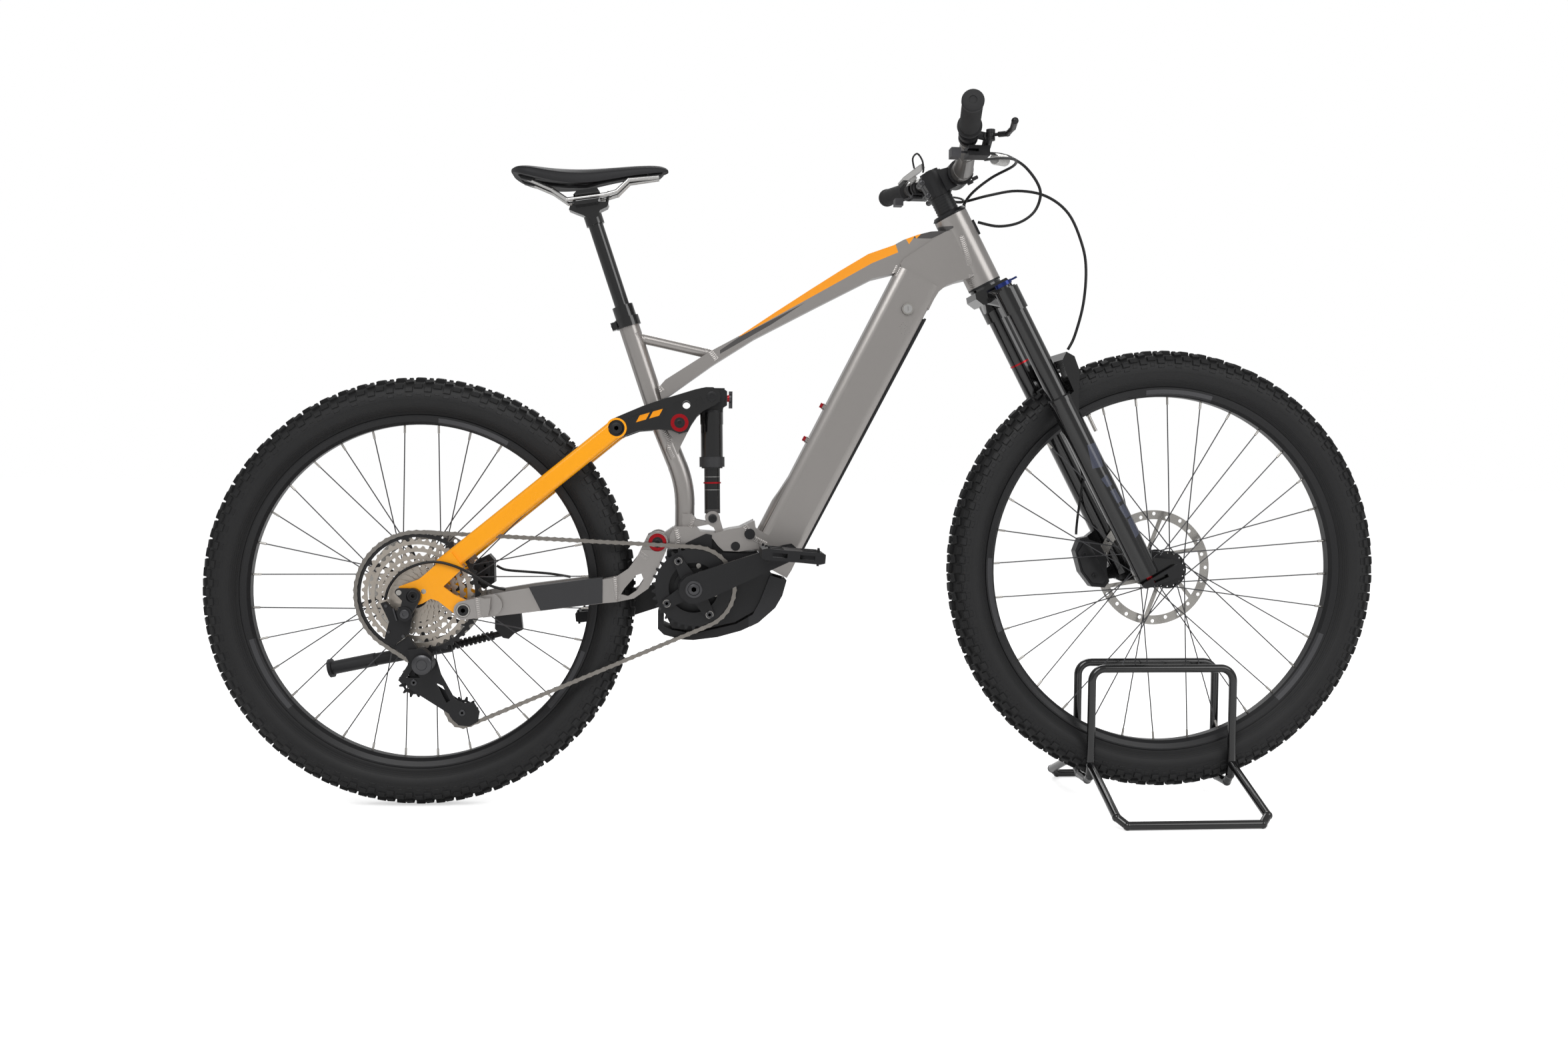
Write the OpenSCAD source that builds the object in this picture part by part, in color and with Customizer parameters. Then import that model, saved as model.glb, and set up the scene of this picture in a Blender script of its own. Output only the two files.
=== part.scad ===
/* [Frame] */
// Outer diameter of the head tube
head_tube_d = 59; // [54:0.5:62]
// Head tube length above the head centre
head_up = 66; // [60:1:72]
// Head tube length below the head centre
head_down = 62; // [58:1:66]
// Width of the down tube
down_w = 58; // [52:1:64]
// Wall of the frame tubes
tube_wall = 2.4; // [1.8:0.2:3.2]
// Width of the top tube
top_w = 42; // [34:1:48]
// Outer diameter of the seat tube
seat_tube_d = 34.9; // [34.4:0.1:37]
// Outer diameter of the lower seat tube
low_tube_d = 33; // [30:0.5:36]
// Diameter of the brace tube
brace_d = 17; // [14:0.5:20]
// Diameter of the suspension pivot axles
axle_d = 12; // [10:0.5:14]
// Outer diameter of the main pivot ring
pivot_ring_d = 30; // [26:1:32]

/* [Steering] */
// Angle that the fork is turned to the left
steer_deg = 2.24; // [0:0.01:6]
// Diameter of the fork stanchions
stanchion_d = 35; // [32:0.5:38]
// Distance of each stanchion from the middle
leg_y = 65; // [63:0.5:67]
// Diameter of the steerer tube
steerer_d = 28.6; // [26:0.2:30]
// Diameter of the bar at the stem clamp
bar_clamp_d = 35; // [31.8:0.1:35]
// Diameter of the bar under the grips
bar_end_d = 22.2; // [20:0.2:24]
// Diameter of the grips
grip_d = 32; // [30:0.5:34]
// Half width over the bar ends
bar_half_w = 390; // [370:1:400]

/* [Wheels] */
// Outer radius of the rear tyre
rear_r = 362.7; // [358:0.1:365]
// Outer radius of the front tyre
front_r = 380.5; // [376:0.1:381]
// Width of the rear tyre
rear_tyre_w = 71; // [62:1:74]
// Width of the front tyre
front_tyre_w = 66; // [58:1:67]
// Radius of the rear rim bead seat
rear_bead_r = 294; // [290:0.5:296]
// Radius of the front rim bead seat
front_bead_r = 311; // [307:0.5:313]
// Diameter of the spokes
spoke_d = 2; // [1.6:0.1:2.3]
// Diameter of the rear brake rotor
rear_rotor_d = 203; // [180:1:204]
// Diameter of the front brake rotor
front_rotor_d = 203; // [180:1:204]
// Thickness of the brake rotors
rotor_t = 1.8; // [1.6:0.1:2.2]

/* [Drive] */
// Length of the cranks
crank_len = 170; // [165:0.5:175]
// Angle of the right crank above level, forward
crank_deg = 21.6; // [0:0.1:40]
// Chainring pitch diameter
ring_pitch_d = 137.6; // [136:0.1:138]
// Distance of the chainring from the middle
ring_y = 55; // [54:0.2:56]
// Pitch radius of the largest sprocket
big_cog_r = 103.1; // [102:0.1:104]
// Length of the pedal bodies
pedal_len = 102; // [90:1:106]
// Width of the pedal bodies
pedal_w = 96; // [84:1:100]

/* [Seat] */
// Diameter of the seatpost outer tube
post_d = 31.6; // [31:0.1:31.8]
// Diameter of the dropper stanchion
dropper_d = 25; // [22:0.5:26]
// Width of the saddle
saddle_w = 146; // [130:1:155]
// Diameter of the saddle rails
rail_d = 7; // [6:0.1:8]

/* [Wheel stand] */
// Diameter of the stand tube
stand_d = 14; // [12:0.5:15]
// Height of the hoop centre line
hoop_h = 239; // [220:1:250]
// Half length of each hoop between tube centres
hoop_half = 125; // [120:1:130]

/* [Hidden] */

// Key points of the side view: x forward from the bottom bracket, z above the floor.
bb = [0, 376];
rear_axle = [-460.6, 362.7];
axle_front = [815.8, 408.3];
head_c = [466.1, 953.1];
head_deg = 62.35;
horst = [-378.9, 339.3];
main_pv = [-61.5, 451.4];
rocker_pv = [-25.7, 652.6];
stay_pv = [-130.6, 642.4];
shock_top = [28.1, 697.7];
shock_low = [31.3, 491.4];
lock_pt = [359.2, 850.3];
clamp_pt = [-114.8, 822];
seat_deg = 71.45;
guide_pt = [-466, 214];
tension_pt = [-386, 163];
x_mid = (rear_axle[0] - rear_r + axle_front[0] + front_r) / 2;
gap = 0.3;
hub_rear = 74;
hub_front = 55;
front_rotor_y = 40;
rear_rotor_y = 58.7;
hdir = [cos(head_deg), 0, -sin(head_deg)];
hnrm = [sin(head_deg), 0, cos(head_deg)];
sdir = [-cos(seat_deg), 0, sin(seat_deg)];
stem_clamp = [447, 0, 1084];

// A point in the steering frame: n ahead of the head axis, s down along it.
function hp(n, s, y = 0) = [head_c[0] + hnrm[0] * n + hdir[0] * s, y, head_c[1] + hnrm[2] * n + hdir[2] * s];
// A point on the seat tube axis, s up from the clamp, n ahead of it.
function sp(s, n = 0, y = 0) =
  [clamp_pt[0] + sdir[0] * s + sdir[2] * n, y, clamp_pt[1] + sdir[2] * s - sdir[0] * n];
function p3(p, y = 0) = [p[0], y, p[1]];

// Everything is drawn from the bottom bracket, then moved to the middle of the wheelbase.
module place() { translate([-x_mid, 0, 0]) children(); }
// Front-end pieces turn together about the head axis.
module steered(deg = steer_deg) {
  translate([head_c[0], 0, head_c[1]]) rotate(a = deg, v = [-hdir[0], 0, -hdir[2]])
    translate([-head_c[0], 0, -head_c[1]]) children();
}
// Round bar from a to b.
module bar(a, b, d, d2 = 0) {
  v = b - a;
  l = norm(v);
  translate(a) rotate([0, acos(v[2] / l), atan2(v[1], v[0])])
    cylinder(d1 = d, d2 = d2 == 0 ? d : d2, h = l, $fn = 40);
}
// Side outline as thick as y0 to y1.
module side(y0, y1) { translate([0, y1, 0]) rotate([90, 0, 0]) linear_extrude(y1 - y0) children(); }
// The same outline on both sides of the middle.
module both(y0, y1) {
  side(y0, y1) children();
  side(-y1, -y0) children();
}
// Cylinder across the bike at p, from y0 to y1.
module pin(p, d, y0, y1) {
  translate([p[0], y0, p[1]]) rotate([-90, 0, 0]) cylinder(d = d, h = y1 - y0, $fn = 48);
}
// Ring across the bike.
module ring(p, d, hole, y0, y1) {
  difference() {
    pin(p, d, y0, y1);
    pin(p, hole, y0 - 1, y1 + 1);
  }
}
// Round outline between two points of the side view.
module link2d(a, b, da, db) {
  v = b - a;
  l = norm(v);
  t = atan2(v[1], v[0]);
  k = (da - db) / 2 / l;
  q = acos(k);
  polygon([a + da / 2 * [cos(t + q), sin(t + q)], b + db / 2 * [cos(t + q), sin(t + q)],
    b + db / 2 * [cos(t - q), sin(t - q)], a + da / 2 * [cos(t - q), sin(t - q)]]);
  translate(a) circle(d = da, $fn = 48);
  translate(b) circle(d = db, $fn = 48);
}
// Flat bar of width w between two points of the side view.
module strip2d(a, b, w) {
  v = (b - a) / norm(b - a);
  n = [-v[1], v[0]] * w / 2;
  polygon([a + n, b + n, b - n, a - n]);
}
// Box section with round corners along z.
module round_rect(w, h, r) {
  square([w - 2 * r, h], center = true);
  square([w, h - 2 * r], center = true);
  for (i = [-1, 1], j = [-1, 1]) translate([i * (w / 2 - r), j * (h / 2 - r)]) circle(r = r, $fn = 32);
}
// Rounded box tube from a to b, w across the bike and h deep.
module box_bar(a, b, w, h, r) {
  v = b - a;
  l = norm(v);
  translate(a) rotate([0, 0, atan2(v[1], v[0])]) rotate([0, acos(v[2] / l), 0]) linear_extrude(l) round_rect(h, w, r);
}
// Sweep of a closed section along points: n rings of m corners as one skin.
function unit(v) = v / norm(v);
function tang(p, i) = unit(p[min(i + 1, len(p) - 1)] - p[max(i - 1, 0)]);
module sweep(pts, sec, up = [0, 0, 1]) {
  n = len(pts);
  m = len(sec);
  rings = [for (i = [0:n - 1]) let (t = tang(pts, i), a = unit(cross(t, up)), b = cross(a, t))
    for (q = sec) pts[i] + a * q[0] + b * q[1]];
  polyhedron(rings, concat([[for (j = [0:m - 1]) m - 1 - j]],
    [for (i = [0:n - 2], j = [0:m - 1]) [i * m + j, i * m + (j + 1) % m, (i + 1) * m + (j + 1) % m,
      (i + 1) * m + j]], [[for (j = [0:m - 1]) (n - 1) * m + j]]));
}
function ring_sec(d, m = 8) = [for (j = [0:m - 1]) d / 2 * [cos(360 * j / m), sin(360 * j / m)]];
// Smooth run through hand-set points, k steps a span.
function cat(p, i) = p[max(0, min(len(p) - 1, i))];
function run(p, k = 4) = concat([for (i = [0:len(p) - 2], j = [0:k - 1]) let (t = j / k,
  a = cat(p, i - 1), b = p[i], c = p[i + 1], d = cat(p, i + 2))
  0.5 * (2 * b + (c - a) * t + (2 * a - 5 * b + 4 * c - d) * t * t + (3 * b - a - 3 * c + d) * t * t * t)],
  [p[len(p) - 1]]);

// Outlines of the main frame in the side view.
function along(p, deg, l) = p + l * [cos(deg), sin(deg)];
down_line = [[60, 452], [76, 476], [100, 487], [125, 511], [145, 538], [162, 564], [338.7, 912], [352, 935],
  [424, 984], [470, 984], [478, 912], [466, 905], [446, 900], [426, 892], [413, 881], [405, 868], [396.2, 850],
  [182.9, 440], [166, 404], [158, 391], [128, 407], [108, 437]];
top_line = [[30, 752], [100, 797], [200, 850], [300, 902], [338.7, 912], [366, 930], [424, 940], [426, 985],
  [399, 983], [376, 977], [352, 968], [336, 959], [292, 943], [246, 915], [195, 882], [133, 841], [77, 803],
  [48, 787], [24, 774], [-50.4, 725.6],
  [-62, 712], [-57, 693], [-46, 697]];
cradle_line = [[-41, 440], [-41, 463], [-33, 478], [2, 478], [10, 470], [38, 468], [60, 474], [78, 477],
  [102, 489], [110, 441], [96, 439], [76, 436], [50, 437], [40, 446], [31, 458], [10, 461], [-16, 446],
  [-22, 440]];
mount_line = [[-4, 499], [4, 489], [20, 486], [20, 499], [31.3, 504], [43, 493], [50, 470], [38, 466],
  [33, 476], [24, 481], [4, 477], [-4, 476]];
strut_line = [[-41, 655], [-12, 648], [-13, 636], [-24, 614], [-31, 592], [-36, 590], [-44, 604], [-50, 630]];
battery_a = [158.5, 436];
battery_b = [372, 846.5];
battery_deg = atan2(battery_b[1] - battery_a[1], battery_b[0] - battery_a[0]);

// A bottle boss on the down tube, s up from the lower one.
module boss_at(s) { translate([193.4 + 0.4528 * s, 0, 625.8 + 0.8916 * s]) rotate([0, -63.08, 0]) children(); }
module low_seat_axis(d) {
  a = [-62, 660.4];
  c = [-29.3, 581.1];
  bar(p3(a), p3(c + 2 * unit(c - a)), d);
  translate([-16 - 176.8, 0, 513.7]) rotate([90, 0, 0]) rotate_extrude(angle = 22.42, $fn = 120)
    translate([176.8, 0]) circle(d = d + 0.6, $fn = 40);
  bar([-16, 0, 515.7], [-16, 0, 446], d);
}
// Down tube shell: a side outline cut to a rounded section along the tube.
module down_solid(inset = 0) {
  intersection() {
    side(-down_w / 2 + inset, down_w / 2 - inset) polygon(down_line);
    union() {
      translate([234.7, 0, 620]) rotate([0, 90 - 63, 0]) rotate([0, 0, 90])
        translate([0, 0, -300]) linear_extrude(620) round_rect(down_w + 0.02, 92, 22);
      side(-down_w / 2, down_w / 2) polygon([[40, 380], [170, 380], [188, 430], [60, 500]]);
      side(-down_w / 2 + 3, down_w / 2 - 3) polygon([[330, 1000], [352, 905], [396.2, 850], [500, 850], [500, 1000]]);
    }
  }
}
module battery_bay(extra) {
  l = norm(battery_b - battery_a);
  translate([battery_a[0], 0, battery_a[1]]) rotate([0, 90 - battery_deg, 0])
    translate([-54, -(down_w / 2 - 4.5), -extra]) cube([114, down_w - 9, l + extra + 14]);
}
module frame_main() {
  color("silver") difference() {
    union() {
      down_solid();
      difference() {
        side(-top_w / 2, top_w / 2) polygon(top_line);
        side(-top_w / 2 + tube_wall, top_w / 2 - tube_wall) polygon([[20, 755], [100, 801], [200, 854],
          [296, 903], [296, 938], [246, 909], [195, 876], [133, 835], [77, 797.5], [48, 782], [20, 765]]);
      }
      bar(hp(0, -head_up), hp(0, head_down), head_tube_d);
      bar(p3([-60, 659], 0), p3(clamp_pt, 0), seat_tube_d);
      low_seat_axis(low_tube_d);
      bar([-98, 0, 797.5], [34, 0, 769.5], brace_d);
      both(28, 37) polygon(cradle_line);
      side(-30.5, 30.5) polygon([[-33, 463], [-33, 478], [2, 478], [10, 470], [38, 468], [60, 474], [78, 477],
        [100, 488], [104, 468], [60, 462], [32, 461.5], [10, 464]]);
      both(15.5, 24) polygon(mount_line);
      both(15.5, 24) translate(shock_low) circle(d = 25, $fn = 48);
      side(-24, 24) polygon([[-20, 499], [-4, 499], [-4, 476], [-20, 476]]);
      side(-15, 15) polygon(strut_line);
      pin(rocker_pv, 27, -29.5, 29.5);
      side(-26, 26) polygon([[-75, 447], [-60, 438], [-46, 440], [-30, 440], [-22, 452], [-22, 474], [-36, 476],
        [-52, 465], [-70, 462]]);
      pin(main_pv, 29, -26, 26);
      for (s = [0, 64]) boss_at(s) translate([0, 0, -2]) cylinder(d = 11, h = 6.4, $fn = 32);
    }
    bar(hp(0, -head_up - 5), hp(0, head_down + 5), head_tube_d - 12);
    bar(sp(-152), sp(10), post_d + 2 * gap);
    bar([-84, 0, 794.5], [20, 0, 772.5], brace_d - 2 * tube_wall);
    low_seat_axis(low_tube_d - 2 * tube_wall);
    battery_bay(0.6);
    side(-down_w / 2 + 4.5, down_w / 2 - 4.5) polygon([[350, 905], [366, 926], [418, 968], [424, 940],
      [424, 905], [396, 880]]);
    pin(rocker_pv, axle_d + 2 * gap, -40, 40);
    pin(main_pv, axle_d + 2 * gap, -40, 40);
    pin(shock_low, 8 + 2 * gap, -40, 40);
    pin([70, 445], 15.6, -45, -20);
    pin([94, 466], 12.6, -45, -20);
    pin(lock_pt, 20.6, -45, -20);
    for (s = [0, 64]) boss_at(s) translate([0, 0, -8]) cylinder(d = 5.4, h = 20, $fn = 32);
  }
}
module headset_cups() {
  color("black") {
    difference() {
      union() {
        bar(hp(0, -head_up - 0.05), hp(0, -head_up - 3), head_tube_d - 1);
        bar(hp(0, -head_up - 2.9), hp(0, -74), head_tube_d + 3, head_tube_d - 5);
        bar(hp(0, -head_up + 12), hp(0, -head_up - 1), head_tube_d - 12 - 2 * gap);
      }
      bar(hp(0, -head_up + 20), hp(0, -80), steerer_d + 2 * gap);
    }
    difference() {
      union() {
        bar(hp(0, head_down + 0.05), hp(0, head_down + 3.6), head_tube_d);
        bar(hp(0, head_down - 12), hp(0, head_down + 1), head_tube_d - 12 - 2 * gap);
      }
      bar(hp(0, head_down - 20), hp(0, head_down + 10), 40 + 2 * gap);
    }
    fork_at() difference() {
      translate([head_tube_d / 2 - 4, -8, 17]) cube([6.6, 16, 27]);
      up(0, 0, -60, 60, head_tube_d + 0.2);
    }
  }
}
motor_line = [[-48, 330], [-46, 436], [-22, 439.5], [-14, 443], [2, 445.4], [12, 459.5], [30, 457], [39, 445.5], [50, 436],
  [76, 434], [108, 436], [127, 406], [143, 382], [120, 345], [70, 316], [0, 300], [-36, 306]];
cover_line = [[-60, 336], [-60, 305], [-50, 295], [-20, 287], [0, 286], [40, 291], [80, 302], [110, 316], [138, 341],
  [150, 362], [157, 388], [153, 388], [144, 372], [124, 343.5], [72, 313.5], [2, 297], [-36, 303], [-51, 310],
  [-51, 336]];
module motor_unit() {
  color("#1c1c1e") {
    difference() {
      union() {
        side(-27.5, 27.5) polygon(motor_line);
        intersection() {
          side(-37, 37) polygon(motor_line);
          side(-38, 38) polygon([[-60, 290], [-60, 438], [80, 433], [107, 433], [170, 400], [170, 290]]);
        }
        pin(bb, 66, -44, 44);
        pin([8, 412], 8, -39, -30);
      }
      pin(bb, 30 + 2 * gap, -60, 60);
    }
  }
}
module motor_cover() {
  color("#3a3a3c") {
    side(-43, 43) polygon(cover_line);
    both(37.4, 43) polygon([[96, 309], [110, 316], [138, 341], [150, 362], [157, 388], [129, 396], [112, 352], [96, 322]]);
  }
  color("#2a2a2c") both(37.1, 41) polygon([[-20, 440.5], [30, 441], [30, 464], [20, 466], [-14, 450]]);
}
module seat_clamp() {
  color("black") difference() {
    union() {
      bar(sp(-7), sp(9), seat_tube_d + 7);
      translate(sp(1, -seat_tube_d / 2 - 6)) rotate([0, seat_deg - 90, 0]) cube([10, 18, 13], center = true);
      bar(sp(1, -seat_tube_d / 2 - 8, -11), sp(1, -seat_tube_d / 2 - 8, 11), 7);
    }
    bar(sp(-20), sp(0), seat_tube_d + 2 * gap);
    bar(sp(-20), sp(20), post_d + 2 * gap);
    translate(sp(1, -seat_tube_d / 2 - 6)) rotate([0, seat_deg - 90, 0]) cube([14, 2, 20], center = true);
  }
}
module frame_hardware() {
  color("firebrick") for (m = [0, 1]) mirror([0, m, 0]) {
    ring(main_pv, pivot_ring_d, axle_d + 6, -46, -42.3);
    ring(rocker_pv, pivot_ring_d, axle_d + 6, -49, -45.3);
  }
  color("black") {
    ring(main_pv, axle_d, 6, -47, 47);
    ring(rocker_pv, axle_d, 6, -50, 50);
    for (m = [0, 1]) mirror([0, m, 0]) {
      ring(main_pv, axle_d + 5.9, axle_d - 0.1, -46.5, -42.3);
      ring(rocker_pv, axle_d + 5.9, axle_d - 0.1, -49.5, -45.3);
    }
    pin(shock_low, 8, -27, 27);
    pin(shock_low, 15, -27.5, -24.3);
    pin(shock_low, 15, 24.3, 27.5);
    pin([70, 445], 15, -38.4, -28.6);
  }
  color("firebrick") for (s = [0, 64]) boss_at(s) {
    translate([0, 0, 4.45]) cylinder(d = 9, h = 4.6, $fn = 32);
    translate([0, 0, -7]) cylinder(d = 5, h = 12, $fn = 32);
  }
}
module seatpost_outer() {
  color("#151515") difference() {
    union() {
      bar(sp(-150), sp(20), post_d);
      bar(sp(9.4), sp(30), post_d + 4);
    }
    bar(sp(-148), sp(40), dropper_d + 2 * gap);
  }
}
module battery_at() {
  translate([battery_a[0], 0, battery_a[1]]) rotate([0, 90 - battery_deg, 0]) children();
}
battery_len = norm(battery_b - battery_a);
module battery() {
  color("#222224") battery_at() {
    translate([-30, -down_w / 2 + 5.2, 2]) cube([49.5, down_w - 10.4, battery_len - 6]);
    translate([19.5, -down_w / 2 + 5.2, 5]) cube([1, down_w - 10.4, battery_len - 10]);
    translate([20.4, -down_w / 2 + 3, 5]) cube([3.4, down_w - 6, battery_len - 7]);
  }
}
module battery_lock() {
  color("#b0b0b4") {
    difference() {
      pin(lock_pt, 20, -33.5, -25.2);
      translate([lock_pt[0] - 1, -34, lock_pt[1] - 4]) cube([2, 3, 8]);
    }
  }
}
module charge_flap() {
  color("#262628") {
    translate([94, 0, 466]) rotate([90, 0, 0]) translate([0, 0, 28.8]) cylinder(d = 12, h = 9.4, $fn = 40);
    pin([94, 466], 18, -41.5, -37.4);
  }
}

// Rear suspension.
stay_top = [-130.6, 53, 642.4];
stay_low = [-418, 70.5, 406];
yoke_line = [[-152, 390], [-128, 395], [-110, 407], [-97, 424], [-86, 447], [-79, 462], [-61.5, 469.5], [-46, 462],
  [-43.5, 451], [-47, 437], [-62, 402], [-76, 374], [-100, 357], [-128, 351], [-152, 350]];
yoke_hole = [[-122, 364], [-116, 374], [-97, 396], [-88, 399], [-84, 388], [-95, 371], [-110, 361]];
stay_line = [[-350, 361], [-275, 373.6], [-150, 390], [-128, 394], [-128, 352], [-150, 350], [-275, 334], [-350, 325]];
module chainstays() {
  color("silver") difference() {
    union() {
      difference() {
        both(47, 64) polygon(stay_line);
        both(47 + tube_wall, 64 - tube_wall) polygon([[-330, 360], [-275, 370], [-160, 386], [-160, 353], [-275, 337],
          [-330, 331]]);
      }
      both(38.5, 50.5) difference() {
        polygon(yoke_line);
        polygon(yoke_hole);
      }
      both(26.4, 42) translate(main_pv) circle(d = 36, $fn = 64);
      side(-42, 42) polygon([[-86, 424], [-72, 392], [-66, 396], [-64, 424], [-74, 436], [-82, 436]]);
      both(62, 73.6) link2d(horst, [-335, 347], 31, 36);
      both(82.4, 87) link2d(horst, [-352, 344], 31, 33);
      both(62, 87) polygon([[-360, 328], [-338, 330], [-334, 360], [-360, 357]]);
    }
    side(-60, -47.6) polygon([[-97, 440], [-97, 458.5], [-36, 456.5], [-36, 436.5]]);
    pin(main_pv, axle_d + 2 * gap, -60, 60);
    pin(main_pv, pivot_ring_d + 2 * gap, -60, -42);
    pin(main_pv, pivot_ring_d + 2 * gap, 42, 60);
    pin(horst, 10 + 2 * gap, -90, 90);
    pin(horst, 24, -90, -85);
    pin(horst, 24, 85, 90);
  }
}
module chainstay_fittings() {
  color("#4a4a4c") {
    side(-67, -64.1) polygon([[-274, 377], [-152, 393.6], [-152, 350.5], [-254, 337.5]]);
    side(-67, -46) polygon([[-272, 374.3], [-152, 390.2], [-152, 393.6], [-274, 377]]);
    both(67.4, 81.6) translate([0, 0]) difference() {
      translate(horst) circle(d = 9.4, $fn = 40);
      translate(horst) circle(d = 4, $fn = 40);
    }
  }
  color("black") {
    both(73.9, 86.8) translate(horst) circle(d = 9.6, $fn = 40);
    both(85.3, 88) translate(horst) circle(d = 22, $fn = 40);
    side(64.1, 71) polygon([[-318, 322], [-314, 343], [-292, 346], [-294, 322]]);
    side(66, 84) polygon([[-346, 322.4], [-302, 329.6], [-298, 290], [-312, 284], [-322, 274], [-332, 276],
      [-346, 292]]);
  }
}
module kickstand_leg() {
  color("#2c2c2e") {
    pin([-322, 285], 14, 84.4, 92);
    bar([-322, 92, 285], [-430, 100, 257], 11);
    for (i = [0:9]) let (a = [-352, 94.2, 277.2], b = [-422, 99.4, 259.1], t = i / 9)
      bar(a + (b - a) * t, a + (b - a) * (t + 0.05), 16.5);
    bar([-426, 100, 258], [-560, 112, 232], 22);
    bar([-560, 112, 232], [-636, 118, 216], 24);
    bar([-636, 118, 216], [-642, 118.6, 214.7], 33);
  }
}
module seatstays() {
  color("orange") difference() {
    union() {
      for (m = [0, 1]) mirror([0, m, 0]) {
        box_bar(stay_top, stay_low, 15, 32, 6.5);
        translate([-130.6, 46, 642.4]) rotate([-90, 0, 0]) cylinder(d = 34, h = 14, $fn = 64);
        side(62, 82) polygon([[-400, 436], [-440, 400], [-447, 391], [-425, 383], [-405, 389], [-380, 410]]);
        side(74, 82) polygon([[-398, 434], [-452, 390], [-484, 378], [-484, 374], [-478, 350], [-462, 345],
          [-446, 350], [-432, 358], [-420, 354], [-397, 336], [-378.9, 324.5], [-366, 334], [-365, 345], [-372, 354],
          [-396, 366], [-412, 378], [-385, 404]]);
      }
    }
    for (m = [0, 1]) mirror([0, m, 0]) translate([-130.6, 40, 642.4]) rotate([-90, 0, 0]) cylinder(d = 27.4, h = 30, $fn = 64);
    pin(horst, 10 + 2 * gap, -90, 90);
    pin(rear_axle, 12 + 2 * gap, -90, 90);
  }
}
module dropout_hardware() {
  color("black") {
    difference() {
      union() {
        pin(rear_axle, 12, -86, 82);
        pin(rear_axle, 19, -86, -82.3);
      }
      pin(rear_axle, 6, -90, -78);
    }
    side(-95, -82.3) difference() {
      union() {
        link2d(rear_axle, [-472, 334], 27, 20);
        link2d([-468, 364], [-482, 370], 24, 12);
      }
      translate(rear_axle) circle(d = 19.6, $fn = 48);
      translate([-472, 334]) circle(d = 8.6, $fn = 40);
    }
  }
}
module rear_caliper() {
  color("#1d1d1f") {
    difference() {
      side(46, 73) polygon([[-362, 363], [-344, 375], [-345, 414], [-354, 424], [-376, 413], [-384, 400],
        [-384, 380]]);
      side(rear_rotor_y - 2.2, rear_rotor_y + 2.2) polygon([[-410, 340], [-362, 360], [-350, 378], [-351, 408], [-362, 416], [-410, 430]]);
      pin(rear_axle, 168, 40, 80);
    }
  }
}
module rocker_link() {
  color("#161616") difference() {
    both(30, 45) polygon(concat([[-145, 650], [-136, 659], [-118, 667], [-88, 680], [-60, 690], [0, 709], [18, 713], [30, 713],
      [40, 708], [43, 698], [41, 689], [33, 683], [14, 673], [4, 665], [-6, 650], [-12, 638], [-25.7, 634], [-40, 640],
      [-60, 641], [-95, 638], [-116, 630], [-130, 627], [-143, 634]]));
    pin(rocker_pv, axle_d + 2 * gap, -60, 60);
    pin(stay_pv, 10, -60, 60);
    pin(shock_top, 10 + 2 * gap, -60, 60);
    pin([-14.5, 683], 13.5, -60, 60);
    both(41, 46) polygon([[-109, 642], [-112, 660], [-90, 669], [-58, 679], [-48, 676], [-52, 656], [-60, 646]]);
    both(41, 46) polygon([[2, 676], [0, 690], [9, 698], [16, 686]]);
    both(41, 46) polygon([[-38, 684], [-26, 690], [-24, 678], [-34, 674]]);
  }
}
module rocker_bolts() {
  color("#101010") for (m = [0, 1]) mirror([0, m, 0]) {
    pin(stay_pv, 9.6, -58, -30.2);
    ring(stay_pv, 20, 6, -61, -57.9);
    pin(shock_top, 18, -48, -45.3);
  }
  color("#101010") pin(shock_top, 8.6, -47, 47);
}
function shp(s) = p3(shock_low + (shock_top - shock_low) / norm(shock_top - shock_low) * s);
module shock_shaft() {
  color("#202020") difference() {
    union() {
      bar(shp(8), shp(124), 27);
      pin(shock_low, 24, -14.8, 14.8);
    }
    pin(shock_low, 8 + 2 * gap, -30, 30);
  }
  color("firebrick") difference() {
    bar(shp(59), shp(61.6), 30);
    bar(shp(50), shp(70), 27.6);
  }
}
module shock_body() {
  color("#1b1b1b") difference() {
    union() {
      bar(shp(85), shp(88), 36);
      bar(shp(87.4), shp(104.5), 43);
      bar(shp(102), shp(184), 37.5);
      bar(shp(160), shp(184), 39);
      side(-14, 14) polygon([[10, 673.4], [47, 673.4], [52, 700], [50, 713], [10, 713], [5, 700]]);
      side(-11, 11) polygon([[48, 680], [54.5, 684], [54.5, 708], [48, 712]]);
    }
    bar(shp(70), shp(181.5), 27 + 2 * gap);
    bar(shp(70), shp(118), 31);
    pin(shock_top, 16.5, -30, 30);
  }
}
module shock_lever() {
  color("#505054") {
    bar([54.9, 0, 696], [57.6, 0, 696], 12);
    bar([57.6, 0, 696], [61.6, 0, 696], 17);
    translate([57.6, -3.5, 679]) cube([6.2, 7, 29]);
  }
}

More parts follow.
